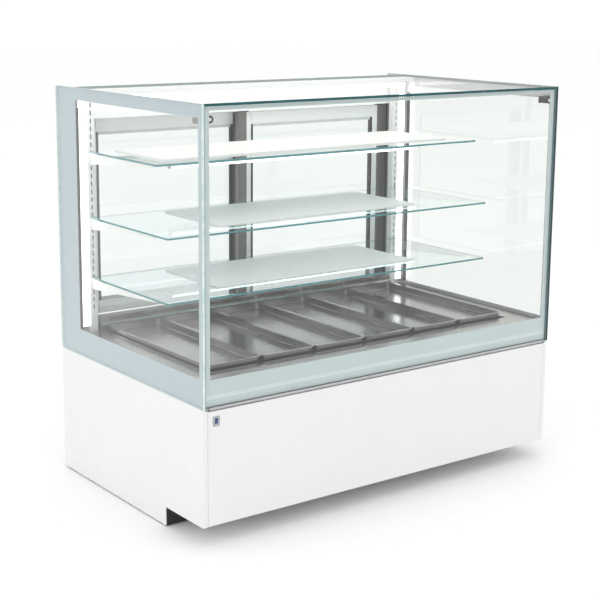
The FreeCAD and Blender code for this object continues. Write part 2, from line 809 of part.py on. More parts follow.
board_thick = 4.0
board_sizes = {"top": (1150.0, 400.0, 700.0), "middle": (800.0, 365.0, 690.0),
               "bottom": (800.0, 365.0, 690.0)}
for name, (long, f0, f1) in board_sizes.items():
    z = shelf_heights[name] + 0.2
    save("serving_board_" + name,
         [rounded_box(-long / 2, long / 2, f0, f1, z, z + board_thick, 8.0)])

# ---------------------------------------------------------------- lamps
corner_lamp_x = (647.0, 675.0)
lamp_foot = 500.0
shelf_lamp_half = 502.0
shelf_lamp_fs = (470.0, 490.0)
head_lamp_half = 640.0
head_lamp_z = 1244.0


def lamp_housings():
    """Extruded aluminium lamp bodies: two corners, the head, and one under each shelf."""
    x0, x1 = corner_lamp_x
    bodies = pair(block(x0, x1, 746, 770, lamp_foot, head_shelf_under - 0.5))
    bodies.append(block(-head_lamp_half, head_lamp_half, 703, 727, head_lamp_z,
                        head_shelf_under))
    f0, f1 = shelf_lamp_fs
    for z in shelf_heights.values():
        under = z - shelf_pane
        bar = block(-shelf_lamp_half, shelf_lamp_half, f0, f1, under - 24, under - 14)
        clips = [block(x - 9, x + 9, f0 + 3, f1 - 3, under - 14, under) for x in (-440, 0, 440)]
        bodies.append(join([bar] + clips))
    return bodies


def lamp_lenses():
    """Opal covers that clip onto the lamp bodies."""
    x0, x1 = corner_lamp_x
    face = [(x0 + 2, 746), (x0 + 2, 738), (x1 - 2, 738), (x1 - 2, 746)]
    lenses = pair(plate_z(face, [0, 5, 5, 0], lamp_foot + 2, head_shelf_under - 3))
    low = head_lamp_z - 14
    face = [(705, head_lamp_z), (705, low), (725, low), (725, head_lamp_z)]
    lenses.append(plate_x(face, [0, 5, 5, 0],
                          -head_lamp_half + 2, head_lamp_half - 2))
    f0, f1 = shelf_lamp_fs
    for z in shelf_heights.values():
        low = z - shelf_pane - 24
        face = [(f0 + 1, low), (f0 + 1, low - 7), (f1 - 1, low - 7), (f1 - 1, low)]
        lenses.append(plate_x(face, [0, 4, 4, 0], -shelf_lamp_half + 2, shelf_lamp_half - 2))
    return lenses


save("lamp_housings", lamp_housings())
save("lamp_lenses", lamp_lenses())

# ---------------------------------------------------------------- refrigeration
coil_tube = 5.0


def finned_coil(x0, x1, rows, levels, pitch, margin):
    """Fins strung on one serpentine tube: rows are Y planes, levels are heights."""
    stops = [(rows[0], z) for z in levels] + [(rows[1], z) for z in reversed(levels)]
    overhang = 14.0
    tube_parts = []
    for i, (f, z) in enumerate(stops):
        tube_parts.append(rod(x0 - overhang, f, z, coil_tube, x1 - x0 + 2 * overhang,
                              Vector(1, 0, 0)))
        if i == 0:
            continue
        last_f, last_z = stops[i - 1]
        x = x0 - overhang if i % 2 else x1 + overhang
        middle = Vector(x, y_at((f + last_f) / 2), (z + last_z) / 2)
        swing = Vector(0, f - last_f, z - last_z)
        ring = Part.makeTorus(swing.Length / 2, coil_tube, middle,
                              swing.cross(Vector(1, 0, 0)))
        keep = block(x, x + 60, f - 90, f + 90, levels[0] - 60, levels[-1] + 60)
        if i % 2:
            keep = keep.translated(Vector(-60, 0, 0))
        tube_parts.append(ring.common(keep))
    serpentine = tube_parts[0].multiFuse(tube_parts[1:])
    fin = block(x0, x0 + 1, rows[0] - margin, rows[1] + margin, levels[0] - margin,
                levels[-1] + margin)
    holes = [rod(x0 - 1, f, z, coil_tube + 0.1, 3, Vector(1, 0, 0)) for f, z in stops]
    fin = fin.cut(Part.makeCompound(holes))
    count = int((x1 - x0) / pitch)
    fins = [fin.translated(Vector(i * pitch, 0, 0)) for i in range(count + 1)]
    return [serpentine] + fins


save("evaporator", finned_coil(-330.0, 330.0, (360.0, 410.0), (345.0, 370.0, 395.0, 420.0),
                               15.0, 18.0))

fan_f = 560.0
fan_z = 388.0
fan_xs = {"left": -210.0, "right": 210.0}
fan_radius = 66.0


def fan_rotor(x, f, z, radius):
    """Hub with five twisted blades, and a shaft that runs back into the motor."""
    hub = rod(x, f - 6, z, 17, 14, Vector(0, 1, 0))
    shaft = rod(x, f + 8, z, 3.0, 25, Vector(0, 1, 0))
    blades = []
    for i in range(5):
        blade = Part.makeBox(radius - 16, 2.0, 34, Vector(x + 15, y_at(f), z - 17))
        blade.rotate(Vector(x, y_at(f) + 1, z), Vector(1, 0, 0), 28 - 90)
        blade.rotate(Vector(x, y_at(f), z), Vector(0, 1, 0), 72 * i)
        blades.append(blade)
    fan = join([hub, shaft] + blades)
    return fan.common(rod(x, f - 30, z, radius, 90, Vector(0, 1, 0)))


def fan_motor(x, f, z, reach, long):
    """Motor behind the rotor on a bar across the opening, bored for the shaft."""
    can = rod(x, f + 19, z, 24, long, Vector(0, 1, 0))
    bar = block(x - reach, x + reach, f + 27, f + 32, z - 8, z + 8)
    bore = rod(x, f + 18, z, 3.05, 16, Vector(0, 1, 0))
    return join([can, bar]).cut(bore)


def fan_bulkhead():
    """Sheet across the well with a ring round each fan, and the two fan motors."""
    wall = block(-well_x + well_wall, well_x - well_wall, fan_f + 15, fan_f + 17,
                 well_floor, 464)
    parts = [wall]
    for x in fan_xs.values():
        ring = rod(x, fan_f - 9, fan_z, fan_radius + 6, 26, Vector(0, 1, 0))
        parts.append(ring)
    sheet_metal = join(parts)
    for x in fan_xs.values():
        sheet_metal = sheet_metal.cut(rod(x, fan_f - 10, fan_z, fan_radius + 3.5, 30,
                                          Vector(0, 1, 0)))
    for x in (pipe_x, liquid_x):
        sheet_metal = sheet_metal.cut(rod(x, fan_f + 10, pipe_z, 9, 10, Vector(0, 1, 0)))
    motors = [fan_motor(x, fan_f, fan_z, fan_radius + 12, 34) for x in fan_xs.values()]
    feet = [block(x + s - 8, x + s + 8, fan_f + 17, fan_f + 27, fan_z - 8, fan_z + 8)
            for x in fan_xs.values() for s in (-fan_radius - 4, fan_radius + 4)]
    return [join([sheet_metal] + feet)] + motors


save("fan_bulkhead", fan_bulkhead())
for side, x in fan_xs.items():
    save("evaporator_fan_" + side, [fan_rotor(x, fan_f, fan_z, fan_radius)])

pan_top = low_ring + tube + sheet
compressor_mid = (330.0, 640.0)


def compressor():
    """Hermetic compressor: a domed steel can on a foot plate with four grommets."""
    x, f = compressor_mid
    z = pan_top + 12
    profile = [Vector(x, y_at(f), z), Vector(x + 64, y_at(f), z), Vector(x + 78, y_at(f), z + 16),
               Vector(x + 78, y_at(f), z + 92), Vector(x + 60, y_at(f), z + 128),
               Vector(x + 22, y_at(f), z + 142), Vector(x, y_at(f), z + 143)]
    face = rounded_face(profile, [0, 10, 18, 26, 30, 16, 0])
    can = face.revolve(Vector(x, y_at(f), 0), Vector(0, 0, 1), 360)
    foot = rounded_box(x - 95, x + 95, f - 60, f + 60, z - 3, z + 1, 10)
    grommets = [rod(x + dx, f + dy, pan_top, 11, 9, Vector(0, 0, 1))
                for dx in (-80, 80) for dy in (-46, 46)]
    band = rod(x, f, z + 60, 79.5, 5, Vector(0, 0, 1))
    return join([can, foot, band] + grommets)


condenser_x = (-420.0, -120.0)
condenser_rows = (765.0, 787.0)
condenser_levels = (120.0, 145.0, 170.0, 195.0, 220.0)
condenser_mid_x = (condenser_x[0] + condenser_x[1]) / 2
condenser_fan_f = 704.0
condenser_fan_z = 170.0


def condenser():
    """Finned coil at the louvres with a fan cowl and the fan's motor in front."""
    coil = finned_coil(condenser_x[0], condenser_x[1], condenser_rows, condenser_levels,
                       10.0, 11.0)
    cowl = block(condenser_x[0], condenser_x[1], 726, 753, pan_top, 233)
    cowl = cowl.cut(block(condenser_x[0] + 2, condenser_x[1] - 2, 728, 754,
                          pan_top + 2, 231))
    ring = rod(condenser_mid_x, 690, condenser_fan_z, 64, 37, Vector(0, 1, 0))
    hole = rod(condenser_mid_x, 680, condenser_fan_z, 61.5, 50, Vector(0, 1, 0))
    motor = fan_motor(condenser_mid_x, condenser_fan_f, condenser_fan_z, 66, 24)
    return coil + [join([cowl, ring]).cut(hole), motor]


save("compressor", [compressor()])
save("condenser", condenser())
save("condenser_fan", [fan_rotor(condenser_mid_x, condenser_fan_f, condenser_fan_z, 58.0)])


def refrigerant_pipes():
    """Copper lines between compressor, condenser and evaporator, each brazed at both ends."""
    x, f = compressor_mid
    under_well = 259.0
    coil_end = 344.0
    condenser_end = condenser_x[1] + 14
    suction = [(x + 79, f, 190), (x + 130, f, 190), (x + 130, pipe_fs[0], 235),
               (pipe_x, pipe_fs[0], 235), (pipe_x, pipe_fs[0], pipe_z),
               (pipe_x, 410, pipe_z), (coil_end, 410, pipe_z)]
    discharge = [(x - 79, f, 190), (x - 115, f, 190), (x - 115, condenser_rows[1], 190),
                 (x - 115, condenser_rows[1], condenser_levels[0]),
                 (condenser_end, condenser_rows[1], condenser_levels[0])]
    liquid = [(condenser_end, condenser_rows[0], condenser_levels[0]),
              (condenser_end + 50, condenser_rows[0], condenser_levels[0]),
              (condenser_end + 50, condenser_rows[0], under_well),
              (condenser_end + 50, pipe_fs[1], under_well), (pipe_x, pipe_fs[1], under_well),
              (pipe_x, pipe_fs[1], pipe_z), (liquid_x, pipe_fs[1], pipe_z),
              (liquid_x, 360, pipe_z), (coil_end, 360, pipe_z)]
    pipes = []
    for points, radius in ((suction, 6.0), (discharge, 4.0), (liquid, 4.0)):
        route = [Vector(px, y_at(pf), pz) for px, pf, pz in points]
        pipes.append(pipe(route, radius, bend=14.0))
    return pipes


save("refrigerant_pipes", refrigerant_pipes())
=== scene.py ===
import math

import bmesh
import bpy
import numpy as np
from mathutils import Matrix, Vector


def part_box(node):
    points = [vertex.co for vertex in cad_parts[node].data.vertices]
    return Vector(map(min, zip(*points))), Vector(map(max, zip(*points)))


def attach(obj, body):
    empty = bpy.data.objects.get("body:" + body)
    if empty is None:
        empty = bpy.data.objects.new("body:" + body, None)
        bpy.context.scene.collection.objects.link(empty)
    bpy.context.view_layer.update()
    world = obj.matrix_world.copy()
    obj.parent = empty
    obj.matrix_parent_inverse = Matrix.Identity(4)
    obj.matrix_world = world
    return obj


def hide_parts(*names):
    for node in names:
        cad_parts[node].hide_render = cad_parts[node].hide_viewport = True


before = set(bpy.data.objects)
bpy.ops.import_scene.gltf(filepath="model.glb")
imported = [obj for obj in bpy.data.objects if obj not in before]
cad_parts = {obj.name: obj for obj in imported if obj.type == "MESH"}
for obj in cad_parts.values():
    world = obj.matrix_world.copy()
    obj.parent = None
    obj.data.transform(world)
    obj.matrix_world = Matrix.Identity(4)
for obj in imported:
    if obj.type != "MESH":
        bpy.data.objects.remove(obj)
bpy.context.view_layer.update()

bl_info = {
    "name": "Bakery Display Case Finishes",
    "version": (1, 0, 0),
    "blender": (4, 5, 0),
    "location": "View3D > Sidebar > Display Case",
    "description": "Finishes, seals, printed glass borders and small parts of a refrigerated display case",
    "category": "Object",
}

MM = 0.001
WHITE = (1.0, 1.0, 1.0, 1.0)
CLEAR_FOOT = 495 * MM        # height where the front glass turns clear and the side seals start
GLASS_INSIDE = 684.4 * MM    # 0.1 mm clear of the inner face of the side glass
JAMB_EDGE = 639.9 * MM       # the posts are painted beyond this, and brush pile inside it
# Width of the painted reflection along the inner edge of each door stile
PAINTED_REFLECTION_STRIP = 20 * MM
GLAZING_SPACER = 16.5 * MM
KNOB_X, KNOB_Z = 660 * MM, 1226 * MM
# Radius of the painted highlight in the middle of each knob's face
PAINTED_HIGHLIGHT_RADIUS = 5 * MM
TOOL_RING_GAP = 0.9 * MM
ZINC_CRYSTAL = 14 * MM
LED_GAP = 16.7 * MM


# ------------------------------------------------------------------ colour and nodes
def linear(code):
    """sRGB hex to the linear values that a shader takes."""
    value = np.array([int(code[i:i + 2], 16) for i in (0, 2, 4)]) / 255
    low = value / 12.92
    high = ((value + 0.055) / 1.055) ** 2.4
    return tuple(float(x) for x in np.where(value <= 0.04045, low, high))


def rgba(colour):
    return (*colour[:3], 1.0)


def add(tree, kind, inputs=None, **settings):
    """Adds one node. settings are the node's own options; inputs are values or the sockets that feed it."""
    node = tree.nodes.new(kind)
    for key, value in settings.items():
        setattr(node, key, value)
    for key, value in (inputs or {}).items():
        if isinstance(value, bpy.types.NodeSocket):
            tree.links.new(value, node.inputs[key])
        else:
            node.inputs[key].default_value = value
    return node


def blank(name):
    """An empty material of that name, and its node tree."""
    material = bpy.data.materials.new(name)
    material.use_nodes = True
    material.node_tree.nodes.clear()
    return material, material.node_tree


def mottle(tree, size_mm, stretch=(1.0, 1.0, 1.0), detail=2.0, spread=0.2):
    """Noise from 0 to 1 whose spots are size_mm across; stretch above 1 packs them closer along that
    axis."""
    place = add(tree, "ShaderNodeTexCoord").outputs["Object"]
    scaled = add(tree, "ShaderNodeMapping", {"Vector": place, "Scale": stretch}).outputs[0]
    noise = add(tree, "ShaderNodeTexNoise",
                {"Vector": scaled, "Scale": 1 / (size_mm * MM), "Detail": detail}).outputs[0]
    return add(tree, "ShaderNodeMapRange",
               {"Value": noise, "From Min": 0.5 - spread, "From Max": 0.5 + spread}).outputs[0]


# ------------------------------------------------------------------ finishes
def sheet_finish(name, tones, roughness, grain_mm, relief_mm, stretch=(1.0, 1.0, 1.0), cloud_mm=300.0,
                 constant=None):
    """A finish with fine grain: the grain turns one tone into the other a little, a slow cloud more, and
    both swing the roughness between its two values. constant holds the Principled shader's other values."""
    material, tree = blank(name)
    fine = mottle(tree, grain_mm, stretch)
    slow = mottle(tree, cloud_mm)
    share = add(tree, "ShaderNodeMix", {0: 0.4, 2: fine, 3: slow}).outputs[0]
    shader = add(tree, "ShaderNodeBsdfPrincipled", {
        "Base Color": add(tree, "ShaderNodeMix", {
            0: share, 6: rgba(tones[0]), 7: rgba(tones[1])}, data_type="RGBA").outputs[2],
        "Roughness": add(tree, "ShaderNodeMapRange", {
            "Value": share, "To Min": roughness[0], "To Max": roughness[1]}).outputs[0],
        "Normal": add(tree, "ShaderNodeBump", {"Height": fine, "Distance": relief_mm * MM}).outputs[0],
        **(constant or {})})
    add(tree, "ShaderNodeOutputMaterial", {"Surface": shader.outputs[0]})
    return material


def powder_coat(name, tones, roughness=(0.24, 0.32), peel_mm=1.8, relief_mm=0.014):
    """Baked powder coat: the grains flow into a soft orange peel that breaks up the reflection."""
    return sheet_finish(name, tones, roughness, peel_mm, relief_mm, constant={
        "Coat Weight": 0.25, "Coat Roughness": 0.12})


def brushed_steel(name, along):
    """Stainless sheet, belt brushed: long hairlines along the brushing make streaked, stretched
    reflections. The hairlines are drawn 0.5 mm apart, wider than grit 180 leaves them, so that they
    show."""
    stretch = tuple(1.0 if axis == along else 45.0 for axis in "XYZ")
    return sheet_finish(name, (linear("7F7D7B"), linear("B4B3B1")), (0.13, 0.28), 24.0, 0.012, stretch,
                        constant={"Metallic": 1.0})


def anodised(name, tones, along, roughness=(0.28, 0.42), metallic=0.75):
    """Extruded aluminium, etched and anodised: faint die lines along the profile under a satin oxide
    skin."""
    stretch = tuple(1.0 if axis == along else 30.0 for axis in "XYZ")
    return sheet_finish(name, tones, roughness, 40.0, 0.006, stretch,
                        constant={"Metallic": metallic})


def galvanised():
    """Hot-dip galvanised sheet: zinc crystals about 14 mm across, each a slightly different grey."""
    material, tree = blank("hot_dip_galvanised_steel")
    place = add(tree, "ShaderNodeTexCoord").outputs["Object"]
    cell = add(tree, "ShaderNodeTexVoronoi", {"Vector": place, "Scale": 1 / ZINC_CRYSTAL}).outputs["Color"]
    tone = add(tree, "ShaderNodeSeparateColor", {0: cell}).outputs[0]
    shader = add(tree, "ShaderNodeBsdfPrincipled", {
        "Base Color": add(tree, "ShaderNodeMix", {
            0: tone, 6: rgba(linear("9EA3A6")), 7: rgba(linear("BFC4C6"))}, data_type="RGBA").outputs[2],
        "Metallic": 0.9,
        "Roughness": add(tree, "ShaderNodeMapRange", {
            "Value": tone, "To Min": 0.38, "To Max": 0.55}).outputs[0],
        "Normal": add(tree, "ShaderNodeBump", {"Height": tone, "Distance": 0.01 * MM}).outputs[0]})
    add(tree, "ShaderNodeOutputMaterial", {"Surface": shader.outputs[0]})
    return material


def turned_knob(centre):
    """Black anodised aluminium turned on a lathe: tool rings 0.9 mm apart catch the light along the body,
    and the middle 10 mm of the face is a painted highlight, pale and more metallic."""
    material, tree = blank("turned_black_anodised_aluminium")
    coords = add(tree, "ShaderNodeTexCoord").outputs
    axes = add(tree, "ShaderNodeSeparateXYZ", {0: coords["Object"]}).outputs
    sideways = add(tree, "ShaderNodeMath", {0: axes[0]}, operation="ABSOLUTE").outputs[0]
    across = add(tree, "ShaderNodeMath", {0: sideways, 1: centre[0]}, operation="SUBTRACT").outputs[0]
    up = add(tree, "ShaderNodeMath", {0: axes[2], 1: centre[1]}, operation="SUBTRACT").outputs[0]
    squares = [add(tree, "ShaderNodeMath", {0: leg, 1: 2.0}, operation="POWER").outputs[0]
               for leg in (across, up)]
    square = add(tree, "ShaderNodeMath", {0: squares[0], 1: squares[1]}, operation="ADD").outputs[0]
    radius = add(tree, "ShaderNodeMath", {0: square}, operation="SQRT").outputs[0]
    path = add(tree, "ShaderNodeMath", {0: radius, 1: axes[1]}, operation="ADD").outputs[0]
    angle = add(tree, "ShaderNodeMath", {
        0: path, 1: math.tau / TOOL_RING_GAP}, operation="MULTIPLY").outputs[0]
    ring = add(tree, "ShaderNodeMath", {0: angle}, operation="SINE").outputs[0]
    share = add(tree, "ShaderNodeMapRange", {"Value": ring, "From Min": -1.0}).outputs[0]
    ahead = add(tree, "ShaderNodeSeparateXYZ", {0: coords["Normal"]}).outputs[1]
    flat = add(tree, "ShaderNodeMath", {0: ahead, 1: -0.9}, operation="LESS_THAN").outputs[0]
    middle = add(tree, "ShaderNodeMath", {
        0: radius, 1: PAINTED_HIGHLIGHT_RADIUS}, operation="LESS_THAN").outputs[0]
    face = add(tree, "ShaderNodeMath", {0: flat, 1: middle}, operation="MULTIPLY").outputs[0]
    dark = add(tree, "ShaderNodeMix", {
        0: share, 6: rgba(linear("141312")), 7: rgba(linear("2C2927"))}, data_type="RGBA").outputs[2]
    # bare holds the pale tones of the painted highlight in the middle of the face
    bare = add(tree, "ShaderNodeMix", {
        0: share, 6: rgba(linear("D4D1CF")), 7: rgba(linear("EFECEA"))}, data_type="RGBA").outputs[2]
    shader = add(tree, "ShaderNodeBsdfPrincipled", {
        "Base Color": add(tree, "ShaderNodeMix", {0: face, 6: dark, 7: bare}, data_type="RGBA").outputs[2],
        "Metallic": add(tree, "ShaderNodeMapRange", {
            "Value": face, "To Min": 0.2, "To Max": 0.7}).outputs[0],
        "Roughness": add(tree, "ShaderNodeMapRange", {
            "Value": share, "To Min": 0.22, "To Max": 0.34}).outputs[0],
        "Normal": add(tree, "ShaderNodeBump", {"Height": ring, "Distance": 0.02 * MM}).outputs[0]})
    add(tree, "ShaderNodeOutputMaterial", {"Surface": shader.outputs[0]})
    return material


def door_profiles(name, stile_tones, rail_and_reflection_tones, middle, reach):
    """Extruded door profiles with faint die lines: graphite anodised uprights, natural anodised level rails
    between them, and a painted reflection in the rails' pale tones along the uprights' inner 20 mm. middle
    is the door's middle in X, and reach is from there to the inner edge of that painted reflection."""
    material, tree = blank(name)
    place = add(tree, "ShaderNodeTexCoord").outputs["Object"]
    across = add(tree, "ShaderNodeSeparateXYZ", {0: place}).outputs[0]
    offset = add(tree, "ShaderNodeMath", {0: across, 1: middle}, operation="SUBTRACT").outputs[0]
    away = add(tree, "ShaderNodeMath", {0: offset}, operation="ABSOLUTE").outputs[0]
    # The mask takes in the level rails and, along each stile's inner 20 mm, a painted reflection in the
    # rails' pale tones
    rail = add(tree, "ShaderNodeMath", {0: away, 1: reach + PAINTED_REFLECTION_STRIP}, operation="LESS_THAN").outputs[0]
    lines = add(tree, "ShaderNodeMix", {
        0: rail, 2: mottle(tree, 40.0, (30.0, 30.0, 1.0)),
        3: mottle(tree, 40.0, (1.0, 30.0, 30.0))}).outputs[0]
    upright = add(tree, "ShaderNodeMix", {
        0: lines, 6: rgba(stile_tones[0]), 7: rgba(stile_tones[1])}, data_type="RGBA").outputs[2]
    level = add(tree, "ShaderNodeMix", {
        0: lines, 6: rgba(rail_and_reflection_tones[0]), 7: rgba(rail_and_reflection_tones[1])}, data_type="RGBA").outputs[2]
    shader = add(tree, "ShaderNodeBsdfPrincipled", {
        "Base Color": add(tree, "ShaderNodeMix", {
            0: rail, 6: upright, 7: level}, data_type="RGBA").outputs[2],
        "Metallic": add(tree, "ShaderNodeMapRange", {
            "Value": rail, "To Min": 0.55, "To Max": 0.1}).outputs[0],
        "Roughness": add(tree, "ShaderNodeMapRange", {
            "Value": lines, "To Min": 0.28, "To Max": 0.4}).outputs[0],
        "Normal": add(tree, "ShaderNodeBump", {"Height": lines, "Distance": 0.006 * MM}).outputs[0]})
    add(tree, "ShaderNodeOutputMaterial", {"Surface": shader.outputs[0]})
    return material


def pane(name, axis, clear, edge_tones, gloss=1.7):
    """Float glass with ground and polished edges. The faces let the light through with a slight green loss
    and mirror more the flatter they are looked along; the edges show the glass's whole depth in edge_tones,
    a teal band on the front, top and shelves, and on the side panes a painted highlight on the left pane
    and painted shade on the right pane."""
    material, tree = blank(name)
    normal = add(tree, "ShaderNodeTexCoord").outputs["Normal"]
    through_face = add(tree, "ShaderNodeSeparateXYZ", {0: normal}).outputs["XYZ".index(axis)]
    facing = add(tree, "ShaderNodeMath", {0: through_face}, operation="ABSOLUTE").outputs[0]
    edge = add(tree, "ShaderNodeMath", {0: facing, 1: 0.9}, operation="LESS_THAN").outputs[0]
    behind = add(tree, "ShaderNodeNewGeometry").outputs["Backfacing"]
    outside = add(tree, "ShaderNodeMath", {0: 1.0, 1: behind}, operation="SUBTRACT").outputs[0]
    mirror = add(tree, "ShaderNodeFresnel", {"IOR": 1.52}).outputs[0]
    glint = add(tree, "ShaderNodeMath", {0: mirror, 1: outside}, operation="MULTIPLY").outputs[0]
    sheen = add(tree, "ShaderNodeMath", {0: glint, 1: gloss}, operation="MULTIPLY").outputs[0]
    covered = add(tree, "ShaderNodeMath", {0: edge, 1: sheen}, operation="MAXIMUM").outputs[0]
    solid = add(tree, "ShaderNodeClamp", {0: covered}).outputs[0]
    grind = mottle(tree, 30.0)
    tone = add(tree, "ShaderNodeMix", {
        0: grind, 6: rgba(edge_tones[0]), 7: rgba(edge_tones[1])}, data_type="RGBA").outputs[2]
    shader = add(tree, "ShaderNodeBsdfPrincipled", {
        "Base Color": add(tree, "ShaderNodeMix", {0: edge, 6: WHITE, 7: tone}, data_type="RGBA").outputs[2],
        "Metallic": add(tree, "ShaderNodeMath", {0: 1.0, 1: edge}, operation="SUBTRACT").outputs[0],
        "Roughness": add(tree, "ShaderNodeMapRange", {
            "Value": mottle(tree, 120.0), "To Min": 0.0, "To Max": 0.04}).outputs[0]})
    through = add(tree, "ShaderNodeBsdfTransparent", {"Color": rgba(clear)})
    mixed = add(tree, "ShaderNodeMixShader", {0: solid, 1: through.outputs[0], 2: shader.outputs[0]})
    add(tree, "ShaderNodeOutputMaterial", {"Surface": mixed.outputs[0]})
    return material


def glazing(name, low, high, clear):
    """Sealed double glazing: clear in the middle; the spacer is black with sealant up the sides and bare
    aluminium along the top and foot."""
    material, tree = blank(name)
    place = add(tree, "ShaderNodeTexCoord").outputs["Object"]
    axes = add(tree, "ShaderNodeSeparateXYZ", {0: place}).outputs
    away = []
    for i in (0, 2):
        middle = (low[i] + high[i]) / 2
        reach = (high[i] - low[i]) / 2 - GLAZING_SPACER
        offset = add(tree, "ShaderNodeMath", {0: axes[i], 1: middle}, operation="SUBTRACT").outputs[0]
        gap = add(tree, "ShaderNodeMath", {0: offset}, operation="ABSOLUTE").outputs[0]
        away.append(add(tree, "ShaderNodeMath", {0: gap, 1: reach}, operation="GREATER_THAN").outputs[0])
    border = add(tree, "ShaderNodeMath", {0: away[0], 1: away[1]}, operation="MAXIMUM").outputs[0]
    behind = add(tree, "ShaderNodeNewGeometry").outputs["Backfacing"]
    outside = add(tree, "ShaderNodeMath", {0: 1.0, 1: behind}, operation="SUBTRACT").outputs[0]
    sheen = add(tree, "ShaderNodeFresnel", {"IOR": 1.5}).outputs[0]
    mirror = add(tree, "ShaderNodeMath", {0: sheen, 1: outside}, operation="MULTIPLY").outputs[0]
    solid = add(tree, "ShaderNodeMath", {0: border, 1: mirror}, operation="MAXIMUM").outputs[0]
    sealed = add(tree, "ShaderNodeMix", {
        0: mottle(tree, 6.0),
        6: rgba(linear("121314")), 7: rgba(linear("1E2021"))}, data_type="RGBA").outputs[2]
    bright = add(tree, "ShaderNodeMix", {
        0: mottle(tree, 9.0),
        6: rgba(linear("C9CDCC")), 7: rgba(linear("DDE0DF"))}, data_type="RGBA").outputs[2]
    tone = add(tree, "ShaderNodeMix", {0: away[0], 6: bright, 7: sealed}, data_type="RGBA").outputs[2]
    shader = add(tree, "ShaderNodeBsdfPrincipled", {
        "Base Color": add(tree, "ShaderNodeMix", {
            0: border, 6: WHITE, 7: tone}, data_type="RGBA").outputs[2],
        "Metallic": add(tree, "ShaderNodeMath", {0: 1.0, 1: border}, operation="SUBTRACT").outputs[0],
        "Roughness": add(tree, "ShaderNodeMapRange", {
            "Value": mottle(tree, 150.0), "To Min": 0.0, "To Max": 0.05}).outputs[0]})
    through = add(tree, "ShaderNodeBsdfTransparent", {"Color": rgba(clear)})
    mixed = add(tree, "ShaderNodeMixShader", {0: solid, 1: through.outputs[0], 2: shader.outputs[0]})
    add(tree, "ShaderNodeOutputMaterial", {"Surface": mixed.outputs[0]})
    return material


def ceramic_print(name, outside_tone, inside_tone, stripe=None):
    """Ceramic ink screen printed on the glass and fired in: even and satin, one tone seen through the glass
    and another from behind. The mesh of the screen leaves a faint grain. stripe is a paler band, low and
    high in Z."""
    material, tree = blank(name)
    coords = add(tree, "ShaderNodeTexCoord").outputs
    side = add(tree, "ShaderNodeVectorMath", {0: coords["Object"], 1: coords["Normal"]},
               operation="DOT_PRODUCT").outputs["Value"]
    seen_outside = add(tree, "ShaderNodeMath", {0: side, 1: 0.0}, operation="GREATER_THAN").outputs[0]
    tone = add(tree, "ShaderNodeMix", {
        0: seen_outside, 6: rgba(inside_tone), 7: rgba(outside_tone)}, data_type="RGBA").outputs[2]
    if stripe:
        height = add(tree, "ShaderNodeSeparateXYZ", {0: coords["Object"]}).outputs[2]
        above = add(tree, "ShaderNodeMath", {0: height, 1: stripe[0]}, operation="GREATER_THAN").outputs[0]
        below = add(tree, "ShaderNodeMath", {0: height, 1: stripe[1]}, operation="LESS_THAN").outputs[0]
        within = add(tree, "ShaderNodeMath", {0: above, 1: below}, operation="MULTIPLY").outputs[0]
        band = add(tree, "ShaderNodeMath", {0: within, 1: 0.35}, operation="MULTIPLY").outputs[0]
        tone = add(tree, "ShaderNodeMix", {
            0: band, 6: tone, 7: rgba(linear("E2EAE9"))}, data_type="RGBA").outputs[2]
    screen = mottle(tree, 0.9)
    cloud = mottle(tree, 260.0)
    faint = add(tree, "ShaderNodeMath", {0: cloud, 1: 0.06}, operation="MULTIPLY").outputs[0]
    darker = add(tree, "ShaderNodeMix", {
        0: faint, 6: tone, 7: rgba(linear("8FA0A6"))}, data_type="RGBA").outputs[2]
    shader = add(tree, "ShaderNodeBsdfPrincipled", {
        "Base Color": darker,
        "Roughness": add(tree, "ShaderNodeMapRange", {
            "Value": screen, "To Min": 0.34, "To Max": 0.46}).outputs[0],
        "Normal": add(tree, "ShaderNodeBump", {"Height": screen, "Distance": 0.004 * MM}).outputs[0]})
    add(tree, "ShaderNodeOutputMaterial", {"Surface": shader.outputs[0]})
    return material


def opal_diffuser(strength):
    """Opal acrylic extruded over the LED strip: an even glow, a little brighter over each LED."""
    material, tree = blank("opal_acrylic_lit")
    place = add(tree, "ShaderNodeTexCoord").outputs["Object"]
    axes = add(tree, "ShaderNodeSeparateXYZ", {0: place}).outputs
    waves = []
    for along in (axes[0], axes[2]):
        angle = add(tree, "ShaderNodeMath", {
            0: along, 1: math.tau / LED_GAP}, operation="MULTIPLY").outputs[0]
        waves.append(add(tree, "ShaderNodeMath", {0: angle}, operation="COSINE").outputs[0])
    swing = add(tree, "ShaderNodeMath", {0: waves[0], 1: waves[1]}, operation="ADD").outputs[0]
    share = add(tree, "ShaderNodeMapRange", {"Value": swing, "From Min": -2.0, "From Max": 2.0}).outputs[0]
    shader = add(tree, "ShaderNodeBsdfPrincipled", {
        "Base Color": add(tree, "ShaderNodeMix", {
            0: share, 6: rgba(linear("EEF2F4")), 7: rgba(linear("F7FAFB"))}, data_type="RGBA").outputs[2],
        "Roughness": 0.35,
        "Emission Color": add(tree, "ShaderNodeMix", {
            0: share, 6: rgba(linear("F2F4F6")), 7: rgba(linear("FFFFFF"))}, data_type="RGBA").outputs[2],
        "Emission Strength": strength})
    add(tree, "ShaderNodeOutputMaterial", {"Surface": shader.outputs[0]})
    return material


